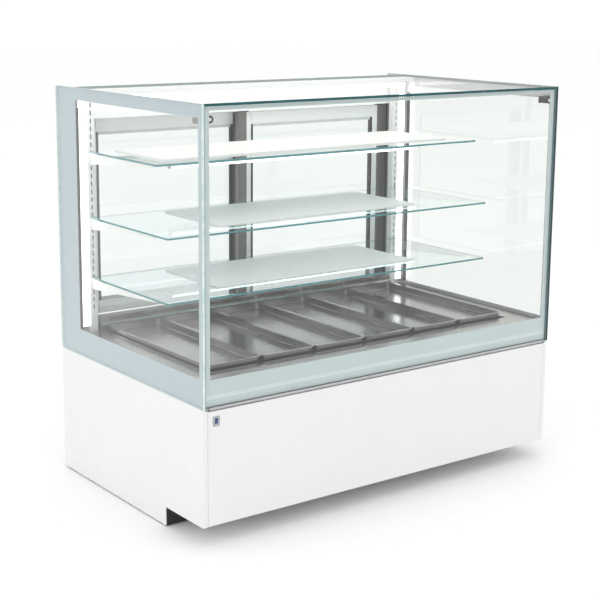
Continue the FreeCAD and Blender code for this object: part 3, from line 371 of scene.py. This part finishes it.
def jamb_paint():
    """Satin powder coat on the posts; the brush seals beside the doors are black pile 0.3 mm thick a hair,
    drawn as upright strands 1 mm apart."""
    material, tree = blank("graphite_powder_coat_and_brush_pile")
    place = add(tree, "ShaderNodeTexCoord").outputs["Object"]
    sideways = add(tree, "ShaderNodeSeparateXYZ", {0: place}).outputs[0]
    across = add(tree, "ShaderNodeMath", {0: sideways}, operation="ABSOLUTE").outputs[0]
    brush = add(tree, "ShaderNodeMath", {0: across, 1: JAMB_EDGE}, operation="LESS_THAN").outputs[0]
    hairs = mottle(tree, 8.0, (1.0, 8.0, 8.0))
    peel = mottle(tree, 1.4)
    paint = add(tree, "ShaderNodeMix", {
        0: peel, 6: rgba(linear("5C5F60")), 7: rgba(linear("686B6C"))}, data_type="RGBA").outputs[2]
    pile = add(tree, "ShaderNodeMix", {
        0: hairs, 6: rgba(linear("0C0C0D")), 7: rgba(linear("2A2A2B"))}, data_type="RGBA").outputs[2]
    shader = add(tree, "ShaderNodeBsdfPrincipled", {
        "Base Color": add(tree, "ShaderNodeMix", {
            0: brush, 6: paint, 7: pile}, data_type="RGBA").outputs[2],
        "Roughness": add(tree, "ShaderNodeMapRange", {
            "Value": brush, "To Min": 0.38, "To Max": 0.9}).outputs[0],
        "Normal": add(tree, "ShaderNodeBump", {
            "Height": add(tree, "ShaderNodeMix", {0: brush, 2: peel, 3: hairs}).outputs[0],
            "Distance": 0.03 * MM}).outputs[0]})
    add(tree, "ShaderNodeOutputMaterial", {"Surface": shader.outputs[0]})
    return material


def coil_fins():
    """Rolled aluminium fins, thin and slightly wavy, dulled by handling."""
    return sheet_finish(
        "rolled_aluminium_fins", (linear("A9ADB0"), linear("CBCFD1")), (0.3, 0.48), 9.0, 0.05,
        (1.0, 3.0, 3.0), constant={"Metallic": 1.0})


# ------------------------------------------------------------------ surfaces
def skin(grid, round_u=False, round_v=False):
    """Faces over a grid of points: each point joins the next along u and along v, and the last row or
    column joins the first where the surface closes on itself. A section that is round in v and open in u
    gets a flat face over each end. All faces are turned over if the volume that they enclose is
    negative."""
    rows, cols = grid.shape[:2]
    index = np.arange(rows * cols).reshape(rows, cols)
    net = np.vstack([index, index[:1]]) if round_u else index
    net = np.hstack([net, net[:, :1]]) if round_v else net
    quads = np.stack([net[:-1, :-1], net[1:, :-1], net[1:, 1:], net[:-1, 1:]], -1).reshape(-1, 4)
    points = grid.reshape(-1, 3)
    corner = points[quads] - points.mean(0)
    cross = np.cross(corner[:, 1] - corner[:, 0], corner[:, 3] - corner[:, 1])
    faces = quads.tolist()
    if round_v and not round_u:
        faces += [index[0].tolist(), index[-1, ::-1].tolist()]
    if np.einsum("ij,ij->", corner.mean(1), cross) < 0:
        faces = [face[::-1] for face in faces]
    return points, faces


def rounded(a0, a1, b0, b1, radii, steps=8):
    """Rounded rectangle as a ring of points from its low left corner: each corner is a quarter circle of
    its own radius about a centre that lies that radius inside the corner."""
    radius = np.maximum(np.array(radii, float), 0.2 * MM)[:, None]
    angle = np.pi * np.array([1.0, 1.5, 0.0, 0.5])[:, None] + np.linspace(0, np.pi / 2, steps)
    a = np.array([a0, a1, a1, a0])[:, None] + np.array([1, -1, -1, 1])[:, None] * radius
    b = np.array([b0, b0, b1, b1])[:, None] + np.array([1, 1, -1, -1])[:, None] * radius
    return np.stack([a + radius * np.cos(angle), b + radius * np.sin(angle)], -1).reshape(-1, 2)


def on_plane(points, plane, depth):
    """Flat points put into space: plane names the axis that depth is measured along."""
    depth = np.broadcast_to(depth, points.shape[:-1])
    order = {"X": (depth, points[..., 0], points[..., 1]), "Y": (points[..., 0], depth, points[..., 1]),
             "Z": (points[..., 0], points[..., 1], depth)}
    return np.stack(order[plane], -1)


def border(outer, inner, plane, t0, t1):
    """Flat frame between two rings: its section is the rectangle outer-t0, outer-t1, inner-t1, inner-t0,
    carried round the ring."""
    corners = [on_plane(ring, plane, t) for ring, t in ((outer, t0), (outer, t1), (inner, t1), (inner, t0))]
    return skin(np.stack(corners, 1), True, True)


def slab(ring, plane, t0, t1, ease=0.0):
    """Plate over a ring from t0 to t1: four copies of the ring, the outer two drawn in by ease for soft
    edges."""
    middle = ring.mean(0)
    shrink = 1 - ease / np.abs(ring - middle).max(0)
    small = middle + (ring - middle) * shrink
    step = math.copysign(ease, t1 - t0)
    layers = [
        on_plane(r, plane, t)
        for r, t in ((small, t0), (ring, t0 + step), (ring, t1 - step), (small, t1))]
    return skin(np.stack(layers, 0), False, True)


def run(section, start, end, plane):
    """Straight profile: the flat section stands on plane and is carried from start to end along its
    axis."""
    return skin(np.stack([on_plane(section, plane, start), on_plane(section, plane, end)], 0), False, True)


def turned(profile, centre, axis, segments=32):
    """Ring turned about an axis: the closed profile of (radius, height along the axis) goes round in equal
    steps."""
    angle = np.linspace(0, 2 * np.pi, segments, endpoint=False)[:, None]
    profile = np.array(profile, float)
    flat = np.stack([profile[:, 0] * np.cos(angle), profile[:, 0] * np.sin(angle)], -1)
    grid = on_plane(flat, axis, np.broadcast_to(profile[:, 1], flat.shape[:-1]))
    return skin(grid + np.array(centre), True, True)


def round_section(radius, height, thick, steps=12):
    """Profile of an O-ring: a circle of that thickness at (radius, height)."""
    angle = np.linspace(0, 2 * np.pi, steps, endpoint=False)
    return np.stack([radius + thick / 2 * np.cos(angle), height + thick / 2 * np.sin(angle)], -1)


def domed(radius, tall, foot, bore=0.1 * MM, steps=6):
    """Profile of a pan head: flat underneath, up the side and over a quarter ellipse to a small flat."""
    angle = np.linspace(0, np.pi / 2, steps)
    over_r = bore + (radius - bore) * np.cos(angle)
    over_h = foot + tall * (0.3 + 0.7 * np.sin(angle))
    return np.vstack([[bore, foot], [radius, foot], np.stack([over_r, over_h], -1)])


def fillet(a, b, way_a, way_b, leg, steps=7):
    """Section of a bead in a corner: from the corner along one leg, back over a hollow quarter circle whose
    centre is the square's far corner, to the end of the other leg."""
    angle = np.linspace(0, np.pi / 2, steps)
    hollow = np.stack([a + way_a * leg * (1 - np.sin(angle)), b + way_b * leg * (1 - np.cos(angle))], -1)
    return np.vstack([[[a, b]], hollow])


def piece(name, skins, material, body, smooth=False):
    """One object from several skins, with its place in its mesh; it rides on a body of the frame."""
    points = np.vstack([p for p, _ in skins])
    starts = np.cumsum([0] + [len(p) for p, _ in skins[:-1]])
    faces = [
        [i + start for i in face]
        for (_, group), start in zip(skins, starts.tolist()) for face in group]
    mesh = bpy.data.meshes.new(name)
    mesh.from_pydata(points.tolist(), [], faces)
    mesh.validate()
    mesh.polygons.foreach_set("use_smooth", np.full(len(mesh.polygons), smooth))
    mesh.materials.append(material)
    obj = bpy.data.objects.new(name, mesh)
    bpy.context.scene.collection.objects.link(obj)
    if smooth:
        edges = bmesh.new()
        edges.from_mesh(mesh)
        for edge in edges.edges:
            edge.smooth = edge.calc_face_angle(0.0) < math.radians(35)
        edges.to_mesh(mesh)
        edges.free()
    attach(obj, body)
    return obj


def dress(material, *names):
    """Gives CAD nodes a finish through their material slots."""
    for name in names:
        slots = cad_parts[name].material_slots
        if not slots:
            raise RuntimeError(f"{name} has no material slot")
        for slot in slots:
            slot.material = material


# ------------------------------------------------------------------ settings
class CaseGlassSettings(bpy.types.PropertyGroup):
    clear: bpy.props.FloatVectorProperty(
        name="Clear glass", description="What one face of a cabinet pane lets through", subtype="COLOR",
        size=3, default=linear("FCFDFC"))
    shelf_clear: bpy.props.FloatVectorProperty(
        name="Shelf glass", description="What one face of a shelf lets through", subtype="COLOR",
        size=3, default=linear("E4EFF0"))
    edge: bpy.props.FloatVectorProperty(
        name="Edge", description="Polished edge of the cabinet panes", subtype="COLOR", size=3,
        default=linear("0C5A5E"))
    shelf_edge: bpy.props.FloatVectorProperty(
        name="Shelf edge", description="Polished edge of the shelves", subtype="COLOR", size=3,
        default=linear("2C7C80"))
    print_outside: bpy.props.FloatVectorProperty(
        name="Print outside", description="Border print, seen through the glass", subtype="COLOR", size=3,
        default=linear("A9B7BE"))
    print_front: bpy.props.FloatVectorProperty(
        name="Print on the front", description="Border print of the front glass, seen through it",
        subtype="COLOR", size=3, default=linear("B8C6C7"))
    print_inside: bpy.props.FloatVectorProperty(
        name="Print inside", description="Border print, seen from the cabinet", subtype="COLOR", size=3,
        default=linear("B6B0B5"))
    side_front: bpy.props.FloatProperty(
        name="Side border, front", description="Width of the print along the side glass's front edge",
        default=30 * MM, unit="LENGTH")
    side_back: bpy.props.FloatProperty(
        name="Side border, back", description="Width of the print along the side glass's rear edge",
        default=119 * MM, unit="LENGTH")
    side_low: bpy.props.FloatProperty(
        name="Side border, foot", description="Height of the print at the foot of the glass",
        default=82 * MM, unit="LENGTH")
    side_top: bpy.props.FloatProperty(
        name="Side border, top", description="Height of the print at the top of the side glass",
        default=40 * MM, unit="LENGTH")
    front_side: bpy.props.FloatProperty(
        name="Front border, sides", description="Width of the print at each side of the front glass",
        default=20 * MM, unit="LENGTH")
    front_top: bpy.props.FloatProperty(
        name="Front border, top", description="Height of the print at the top of the front glass",
        default=11 * MM, unit="LENGTH")


class CaseMetalSettings(bpy.types.PropertyGroup):
    enamel: bpy.props.FloatVectorProperty(
        name="Enamel", description="Powder coat of the base", subtype="COLOR", size=3,
        default=linear("E8E8E8"))
    enamel_shade: bpy.props.FloatVectorProperty(
        name="Enamel shade", description="The darker tone between the grains of the powder coat",
        subtype="COLOR", size=3, default=linear("E4E4E4"))
    graphite: bpy.props.FloatVectorProperty(
        name="Door profiles", description="Anodised profiles of the sliding doors", subtype="COLOR", size=3,
        default=linear("7A7876"))
    pale: bpy.props.FloatVectorProperty(
        name="Pale aluminium", description="Natural anodised profiles", subtype="COLOR", size=3,
        default=linear("F8F9F8"))


class CaseLampSettings(bpy.types.PropertyGroup):
    strength: bpy.props.FloatProperty(
        name="Glow", description="Light that the opal covers give off", default=3.0, min=0.0)


class CaseStageSettings(bpy.types.PropertyGroup):
    camera_place: bpy.props.FloatVectorProperty(
        name="Camera place", description="Where the camera stands", subtype="TRANSLATION", size=3,
        default=(-2.6646, -3.5219, 1.5662))
    yaw: bpy.props.FloatProperty(
        name="Yaw", description="Camera's turn from +Y towards +X", subtype="ANGLE",
        default=math.radians(36.720))
    pitch: bpy.props.FloatProperty(
        name="Pitch", description="Camera's look up, or down where negative", subtype="ANGLE",
        default=math.radians(-11.135))
    roll: bpy.props.FloatProperty(
        name="Roll", description="Camera's turn about its own axis", subtype="ANGLE",
        default=math.radians(0.499))
    lens: bpy.props.FloatProperty(
        name="Lens", description="Focal length for a 36 mm sensor", default=81.64, min=1.0)
    shift: bpy.props.FloatProperty(
        name="Shift", description="Sideways shift of the lens, as a share of the picture", default=-0.0667)
    sky: bpy.props.FloatProperty(
        name="Studio", description="Light from the white studio all round", default=1.09, min=0.0)
    key: bpy.props.FloatProperty(
        name="Softbox", description="Power of the large softbox at the left", default=24.0, min=0.0,
        unit="POWER")
    top: bpy.props.FloatProperty(
        name="Overhead", description="Power of the overhead softbox", default=45.0, min=0.0, unit="POWER")


# ------------------------------------------------------------------ operators
class CASE_OT_cabinet_glass(bpy.types.Operator):
    """Gives the cabinet panes, the shelves and the doors' double glazing their glass"""

    bl_idname = "case.cabinet_glass"
    bl_label = "Cabinet glass"

    def execute(self, context):
        s = context.scene.case_glass
        dark = (tuple(s.edge), tuple(0.55 * c for c in s.edge))
        # Painted highlight: the left pane's edges are painted pale.
        pale = (linear("BFD8D4"), linear("DDEBE8"))
        dress(pane("float_glass_painted_highlight_edges_left", "X", s.clear, pale), "side_glass_left")
        # Painted shade: the right pane's edges are painted near black; the glass is the same as the left
        # pane's.
        black = (linear("0C2A2C"), linear("153A3C"))
        dress(pane("float_glass_painted_shade_edges_right", "X", s.clear, black), "side_glass_right")
        dress(pane("float_glass_polished_front", "Y", s.clear, dark), "front_glass")
        dress(pane("float_glass_polished_top", "Z", s.clear, dark, 0.45), "top_glass")
        light = (tuple(s.shelf_edge), tuple(min(1.0, 1.35 * c) for c in s.shelf_edge))
        dress(pane("float_glass_polished_shelf", "Z", s.shelf_clear, light),
              "shelf_glass_top", "shelf_glass_middle", "shelf_glass_bottom")
        for side in ("left", "right"):
            node = f"door_{side}_glass"
            dress(glazing(f"sealed_double_glazing_{side}", *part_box(node), linear("FDFEFE")), node)
        return {"FINISHED"}


class CASE_OT_printed_borders(bpy.types.Operator):
    """Prints the satin ceramic borders on the inside of the side and front glass"""

    bl_idname = "case.printed_borders"
    bl_label = "Printed borders"

    def execute(self, context):
        s = context.scene.case_glass
        side_ink = ceramic_print("ceramic_ink_side", s.print_outside, s.print_inside)
        for side, way in (("left", -1), ("right", 1)):
            low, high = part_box(f"side_glass_{side}")
            inside = way * min(abs(low.x), abs(high.x))
            corner = 11.8 * MM
            outer = rounded(low.y + 0.2 * MM, high.y - 0.2 * MM, low.z + 0.2 * MM, high.z - 0.2 * MM,
                            (0.0, corner, corner, 0.0))
            inner = rounded(low.y + s.side_front, high.y - s.side_back, low.z + s.side_low,
                            high.z - s.side_top, (MM,) * 4)
            sheet = border(outer, inner, "X", inside + way * 0.1 * MM, inside + way * 0.5 * MM)
            piece(f"print_{side}", [sheet], side_ink, "case")
        low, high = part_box("front_glass")
        outer = rounded(
            low.x + 0.2 * MM, high.x - 0.2 * MM, low.z + 0.2 * MM, high.z - 0.2 * MM, (0.0,) * 4)
        inner = rounded(
            low.x + s.front_side, high.x - s.front_side, CLEAR_FOOT, high.z - s.front_top, (MM,) * 4)
        stripe = (438 * MM, 449 * MM)
        ink = ceramic_print("ceramic_ink_front", s.print_front, s.print_inside, stripe)
        piece("print_front", [border(outer, inner, "Y", high.y - 0.5 * MM, high.y - 0.1 * MM)], ink,
              "front_glass_panel")
        return {"FINISHED"}


class CASE_OT_seals(bpy.types.Operator):
    """Adds the dark upright seals, the silicone beads under the top glass and the doors' glazing gaskets"""

    bl_idname = "case.seals"
    bl_label = "Seals and beads"

    def execute(self, context):
        # EPDM rubber: extruded and black, with a dry sheen.
        rubber = sheet_finish(
            "extruded_epdm_rubber", (linear("0E1012"), linear("1C1F21")), (0.5, 0.68), 1.5, 0.02)
        # Silicone: gunned in and smoothed with a finger, milky grey and glossy.
        silicone = sheet_finish(
            "tooled_grey_silicone", (linear("9FA8A9"), linear("B7BFC0")), (0.25, 0.38), 12.0, 0.05,
            (1.0, 0.3, 1.0))
        strips, beads = [], []
        for way in (-1, 1):
            wall = way * GLASS_INSIDE
            face = rounded(min(wall, wall - way * 1.4 * MM), max(wall, wall - way * 1.4 * MM),
                           294 * MM, 311 * MM, (0.6 * MM,) * 4)
            strips.append(run(face, CLEAR_FOOT, 1206 * MM, "Z"))
            beads.append(run(fillet(wall, 1261.9 * MM, -way, -1, 5 * MM), -420 * MM, 269 * MM, "Y"))
        piece("side_seals", strips, rubber, "case")
        piece("top_glass_beads", beads, silicone, "case", True)
        for side in ("left", "right"):
            low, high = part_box(f"door_{side}_glass")
            reach, wide = 6.5 * MM, 3 * MM
            faces = ((low.y - 1.2 * MM, low.y + 0.1 * MM), (high.y - 0.1 * MM, high.y + 1.2 * MM))
            strips = []
            for x in (low.x + reach, high.x - reach - wide):
                for near, far in faces:
                    ring = rounded(x, x + wide, near, far, (0.4 * MM,) * 4, 4)
                    strips.append(run(ring, low.z + reach, high.z - reach, "Z"))
            piece(f"door_{side}_gasket", strips, rubber, f"door_{side}")
        # The brush between the doors, on the inner door's meeting stile.
        inner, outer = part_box("door_right_frame"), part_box("door_left_frame")
        fin = rounded(
            inner[0].x, inner[0].x + 5 * MM, inner[1].y + 0.1 * MM, outer[0].y - 0.5 * MM, (0.5 * MM,) * 4)
        brush = run(fin, inner[0].z + 2 * MM, inner[1].z - 2 * MM, "Z")
        piece("meeting_brush", [brush], rubber, "door_right")
        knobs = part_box("catch_knobs")
        section = round_section(10 * MM, 0.0, 1.9 * MM)
        rings = [turned(section, (way * KNOB_X, knobs[0].y + 11.3 * MM, KNOB_Z), "Y") for way in (-1, 1)]
        piece("knob_rings", rings, rubber, "front_glass_panel", True)
        return {"FINISHED"}


class CASE_OT_casing(bpy.types.Operator):
    """Paints the base: enamelled panels, black chassis and kick plate, badge and feet"""

    bl_idname = "case.casing"
    bl_label = "Casing"

    def execute(self, context):
        s = context.scene.case_metal
        enamel = powder_coat("white_powder_coat", (s.enamel_shade, s.enamel))
        dress(enamel, "side_panel_left", "side_panel_right", "front_panel", "rear_panel")
        black = powder_coat(
            "black_powder_coat", (linear("17181A"), linear("232427")), (0.38, 0.5), 1.4, 0.02)
        dress(black, "chassis_frame", "kick_plate")
        dress(galvanised(), "floor_pan", "fan_bulkhead")
        # Glass-filled nylon: moulded feet, matt with a fine spark-eroded texture.
        nylon = sheet_finish(
            "moulded_glass_nylon", (linear("1A1A1B"), linear("262627")), (0.5, 0.65), 0.9, 0.03)
        dress(nylon, "levelling_feet")
        # ABS liner: vacuum formed, off-white and slightly wavy.
        liner = sheet_finish(
            "vacuum_formed_abs_liner", (linear("DADCDB"), linear("E6E8E7")), (0.35, 0.5), 6.0, 0.05)
        dress(liner, "insulated_well")
        # Zinc-plated steel: bright with a bluish cast.
        zinc = sheet_finish(
            "zinc_plated_steel", (linear("B4B8BD"), linear("D3D6DA")), (0.2, 0.34), 2.0, 0.008,
            constant={"Metallic": 1.0})
        dress(zinc, "panel_screws")
        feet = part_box("levelling_feet")
        foot, bore, rim = 19 * MM, 19.05 * MM, 19.6 * MM
        profile = [(bore, 0.4 * MM), (rim, 1 * MM), (rim, 6 * MM), (bore, 7 * MM)]
        pads = [turned(profile, (x, y, 0.0), "Z") for x in (feet[0].x + foot, feet[1].x - foot)
                for y in (feet[0].y + foot, feet[1].y - foot)]
        rubber = bpy.data.materials["extruded_epdm_rubber"]
        piece("foot_rings", pads, rubber, "case", True)
        low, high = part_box("badge_plate")
        edge = rounded(low.x, high.x, low.z, high.z, (2.5 * MM,) * 4)
        inner = rounded(
            low.x + 1.4 * MM, high.x - 1.4 * MM, low.z + 1.4 * MM, high.z - 1.4 * MM, (1.4 * MM,) * 4)
        plate = [slab(edge, "Y", high.y - 0.9 * MM, high.y, 0.1 * MM),
                 border(edge, inner, "Y", low.y, low.y + 0.7 * MM)]
        bright = sheet_finish(
            "satin_chromed_abs", (linear("9C9FA3"), linear("C2C5C9")), (0.2, 0.32), 1.4, 0.006,
            constant={"Metallic": 0.8})
        badge = piece("badge", plate, bright, "case")
        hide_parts("badge_plate")
        ink = sheet_finish(
            "blue_grey_badge_enamel", (linear("343C6A"), linear("4A5388")), (0.2, 0.3), 1.2, 0.004)
        middle = (low.x + high.x) / 2
        field = rounded(middle - 5 * MM, middle + 5 * MM, low.z + 7 * MM, high.z - 5.5 * MM, (2 * MM,) * 4)
        piece("badge_field", [slab(field, "Y", low.y + 0.2 * MM, low.y + 0.6 * MM, 0.1 * MM)], ink, "case")
        return {"FINISHED"}


class CASE_OT_metalwork(bpy.types.Operator):
    """Finishes the steel deck and trays, the aluminium profiles, the knobs and the frame's screws"""

    bl_idname = "case.metalwork"
    bl_label = "Metalwork"

    def execute(self, context):
        s = context.scene.case_metal
        dress(brushed_steel("brushed_stainless_across", "X"),
              "deck_surround", "rear_air_duct", "catch_plates")
        dress(brushed_steel("brushed_stainless_along", "Y"), *(f"tray_{i + 1}" for i in range(6)))
        pale = tuple(s.pale)
        shade = tuple(0.96 * c for c in pale)
        dress(anodised("natural_anodised_aluminium_level", (shade, pale), "X", (0.4, 0.55), 0.1),
              "rear_head", "rear_sill")
        dress(anodised("natural_anodised_aluminium_side", (shade, pale), "Y", (0.4, 0.55), 0.2),
              "side_glass_rails", "lamp_housings")
        dress(anodised("natural_anodised_aluminium_rail", (linear("A9ABAD"), linear("C4C6C7")), "X"),
              "front_glass_rail", "hinge_brackets")
        dress(turned_knob((KNOB_X, KNOB_Z)), "catch_knobs")
        grey = tuple(s.graphite)
        dark = tuple(0.8 * c for c in grey)
        dress(anodised("graphite_anodised_aluminium", (dark, grey), "Z", (0.3, 0.42)),
              "door_left_pull", "door_right_pull")
        for side, stiles in (("left", (64 * MM, 64 * MM)), ("right", (54 * MM, 64 * MM))):
            low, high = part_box(f"door_{side}_frame")
            a, b = low.x + stiles[0], high.x - stiles[1]
            dress(door_profiles(f"anodised_door_profiles_{side}", (dark, grey), (shade, pale),
                                (a + b) / 2, (b - a) / 2), f"door_{side}_frame")
        dress(jamb_paint(), "rear_jambs")
        white = powder_coat(
            "white_bracket_powder_coat", (linear("F6F5F4"), linear("FCFBFA")), (0.32, 0.42), 1.5)
        dress(white, "shelf_uprights", "shelf_brackets")
        steel = sheet_finish(
            "stainless_screw", (linear("A9A9A7"), linear("C9C9C7")), (0.22, 0.34), 1.5, 0.006,
            constant={"Metallic": 1.0})
        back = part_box("rear_jambs")[1].y
        heads = [turned(domed(4 * MM, 2.2 * MM, 0.0), (x, back, z), "Y", 20)
                 for x in (-662 * MM, 662 * MM) for z in (530 * MM, 830 * MM, 1130 * MM)]
        piece("jamb_screws", heads, steel, "case", True)
        return {"FINISHED"}


class CASE_OT_lamps(bpy.types.Operator):
    """Lights the opal covers and closes the ends of the shelf lamps"""

    bl_idname = "case.lamps"
    bl_label = "Lamps"

    def execute(self, context):
        dress(opal_diffuser(context.scene.case_lamp.strength), "lamp_lenses")
        # Polycarbonate: moulded end caps, light grey and satin.
        caps = sheet_finish(
            "moulded_grey_polycarbonate", (linear("B9BCBE"), linear("C9CCCE")), (0.4, 0.5), 1.0, 0.01)
        skins = []
        for shelf in ("top", "middle", "bottom"):
            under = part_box(f"shelf_glass_{shelf}")[0].z
            ring = rounded(
                39.5 * MM, 60.5 * MM, under - 31.5 * MM, under - 14 * MM, (3 * MM, 3 * MM, MM, MM))
            for way in (-1, 1):
                skins.append(slab(ring, "X", way * 502.1 * MM, way * 505 * MM, 0.5 * MM))
        piece("lamp_end_caps", skins, caps, "case")
        return {"FINISHED"}


class CASE_OT_boards(bpy.types.Operator):
    """Finishes the white serving boards"""

    bl_idname = "case.boards"
    bl_label = "Serving boards"

    def execute(self, context):
        # Cast acrylic: white, satin on its top, with the faint wipe marks of cleaning.
        acrylic = sheet_finish(
            "cast_white_acrylic", (linear("F3F0EF"), linear("FAF8F7")), (0.42, 0.58), 18.0, 0.01,
            (1.0, 4.0, 1.0), constant={"Specular IOR Level": 0.3})
        dress(acrylic, "serving_board_top", "serving_board_middle", "serving_board_bottom")
        return {"FINISHED"}


class CASE_OT_controls(bpy.types.Operator):
    """Finishes the control fascia and adds its touch panel and the rings of its keys"""

    bl_idname = "case.controls"
    bl_label = "Controls"

    def execute(self, context):
        # ABS: moulded with a spark-eroded texture of 0.8 mm grain.
        moulded = sheet_finish(
            "moulded_black_abs", (linear("1B1C1E"), linear("292A2C")), (0.42, 0.56), 0.8, 0.03)
        grey = sheet_finish(
            "moulded_grey_nylon", (linear("4E4F51"), linear("606163")), (0.4, 0.52), 1.0, 0.02)
        dress(moulded, "control_fascia", "evaporator_fan_left", "evaporator_fan_right", "condenser_fan")
        dress(grey, "light_switch", "cable_gland", "door_left_glides", "door_right_glides")
        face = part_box("control_fascia")[1].y
        middle = (430 * MM, 205 * MM)
        half = (33.6 * MM, 12.6 * MM)
        ring = rounded(middle[0] - half[0], middle[0] + half[0], middle[1] - half[1], middle[1] + half[1],
                       (2.8 * MM,) * 4)
        screen_glass = sheet_finish(
            "printed_touch_glass", (linear("050607"), linear("0B0D0F")), (0.05, 0.09), 60.0, 0.002)
        panel = slab(ring, "Y", face - 1.5 * MM, face - 0.4 * MM, 0.3 * MM)
        piece("touch_panel", [panel], screen_glass, "case")
        marks = sheet_finish(
            "white_screen_print", (linear("C8CCCF"), linear("DDE1E3")), (0.4, 0.5), 2.0, 0.002)
        profile = [(2.6 * MM, 0.0), (3.1 * MM, 0.0), (3.1 * MM, 0.08 * MM), (2.6 * MM, 0.08 * MM)]
        keys = [turned(profile, (middle[0] + dx * MM, face - 0.41 * MM, middle[1] + dz * MM), "Y", 28)
                for dx in (-26, 26) for dz in (-6, 6)]
        piece("touch_keys", keys, marks, "case")
        return {"FINISHED"}


class CASE_OT_cooling(bpy.types.Operator):
    """Finishes the coils, the copper lines and the compressor in the base"""

    bl_idname = "case.cooling"
    bl_label = "Cooling"

    def execute(self, context):
        dress(coil_fins(), "evaporator", "condenser")
        # Copper: drawn tube, warm and a little tarnished.
        copper = sheet_finish(
            "drawn_copper_tube", (linear("8E4F38"), linear("C98562")), (0.25, 0.42), 14.0, 0.01,
            constant={"Metallic": 1.0})
        dress(copper, "refrigerant_pipes")
        # Stove enamel: thick, black and glossy over the pressed can.
        stove = sheet_finish(
            "black_stove_enamel", (linear("08090A"), linear("141517")), (0.15, 0.26), 5.0, 0.04)
        dress(stove, "compressor")
        return {"FINISHED"}


class CASE_OT_stage(bpy.types.Operator):
    """Sets the camera, the white studio, its softboxes and the pale floor"""

    bl_idname = "case.stage"
    bl_label = "Stage"

    def execute(self, context):
        s = context.scene.case_stage
        scene = context.scene
        camera = bpy.data.objects.new("camera", bpy.data.cameras.new("camera"))
        scene.collection.objects.link(camera)
        camera.data.lens = s.lens
        camera.data.shift_y = s.shift
        ahead = Vector(
            (math.sin(s.yaw) * math.cos(s.pitch), math.cos(s.yaw) * math.cos(s.pitch), math.sin(s.pitch)))
        level = Vector((math.cos(s.yaw), -math.sin(s.yaw), 0.0))
        upright = level.cross(ahead)
        right = level * math.cos(s.roll) + upright * math.sin(s.roll)
        up = upright * math.cos(s.roll) - level * math.sin(s.roll)
        turn = Matrix((right, up, -ahead)).transposed()
        camera.matrix_world = Matrix.Translation(s.camera_place) @ turn.to_4x4()
        scene.camera = camera
        scene.view_settings.view_transform = "Standard"
        scene.cycles.transparent_max_bounces = 48

        world = bpy.data.worlds.new("white_studio")
        world.use_nodes = True
        world.node_tree.nodes["Background"].inputs["Color"].default_value = WHITE
        world.node_tree.nodes["Background"].inputs["Strength"].default_value = s.sky
        scene.world = world
        for name, place, size, power in (("softbox_left", (-5.0, -1.5, 3.2), 4.0, s.key),
                                         ("softbox_top", (0.0, -0.5, 5.5), 8.0, s.top)):
            lamp = bpy.data.lights.new(name, "AREA")
            lamp.size = size
            lamp.energy = power
            box = bpy.data.objects.new(name, lamp)
            scene.collection.objects.link(box)
            aim = Vector((0.0, 0.0, 0.5)) - Vector(place)
            box.matrix_world = Matrix.Translation(place) @ aim.to_track_quat("-Z", "Y").to_matrix().to_4x4()

        # Painted studio floor: matt off-white, rolled on, so only its broad unevenness shows.
        paint = sheet_finish(
            "rolled_white_floor_paint", (linear("F3F3F3"), linear("F6F6F6")), (0.7, 0.85), 60.0, 0.05,
            cloud_mm=1500.0)
        along = np.linspace(-30.0, 30.0, 13)
        grid = np.stack([*np.meshgrid(along, along, indexing="ij"), np.zeros((13, 13))], -1)
        points, faces = skin(grid)
        mesh = bpy.data.meshes.new("studio_floor")
        mesh.from_pydata(points.tolist(), [], faces)
        mesh.materials.append(paint)
        floor = bpy.data.objects.new("studio_floor", mesh)
        scene.collection.objects.link(floor)
        return {"FINISHED"}


class CASE_PT_build(bpy.types.Panel):
    bl_idname = "CASE_PT_build"
    bl_label = "Display Case"
    bl_space_type = "VIEW_3D"
    bl_region_type = "UI"
    bl_category = "Display Case"

    def draw(self, context):
        for operator in OPERATORS:
            self.layout.operator(operator.bl_idname)
        for settings in SETTINGS:
            group = getattr(context.scene, settings)
            for key in group.__annotations__:
                self.layout.prop(group, key)


SETTINGS = {"case_glass": CaseGlassSettings, "case_metal": CaseMetalSettings, "case_lamp": CaseLampSettings,
            "case_stage": CaseStageSettings}
OPERATORS = (
    CASE_OT_stage, CASE_OT_cabinet_glass, CASE_OT_printed_borders, CASE_OT_seals, CASE_OT_metalwork,
    CASE_OT_casing, CASE_OT_lamps, CASE_OT_boards, CASE_OT_controls, CASE_OT_cooling)
CLASSES = (*SETTINGS.values(), *OPERATORS, CASE_PT_build)


def register():
    for kind in CLASSES:
        bpy.utils.register_class(kind)
    for name, kind in SETTINGS.items():
        setattr(bpy.types.Scene, name, bpy.props.PointerProperty(type=kind))


def unregister():
    for name in SETTINGS:
        delattr(bpy.types.Scene, name)
    for kind in reversed(CLASSES):
        bpy.utils.unregister_class(kind)


def main():
    register()
    for operator in OPERATORS:
        group, name = operator.bl_idname.split(".")
        getattr(getattr(bpy.ops, group), name)()


if __name__ == "__main__":
    main()
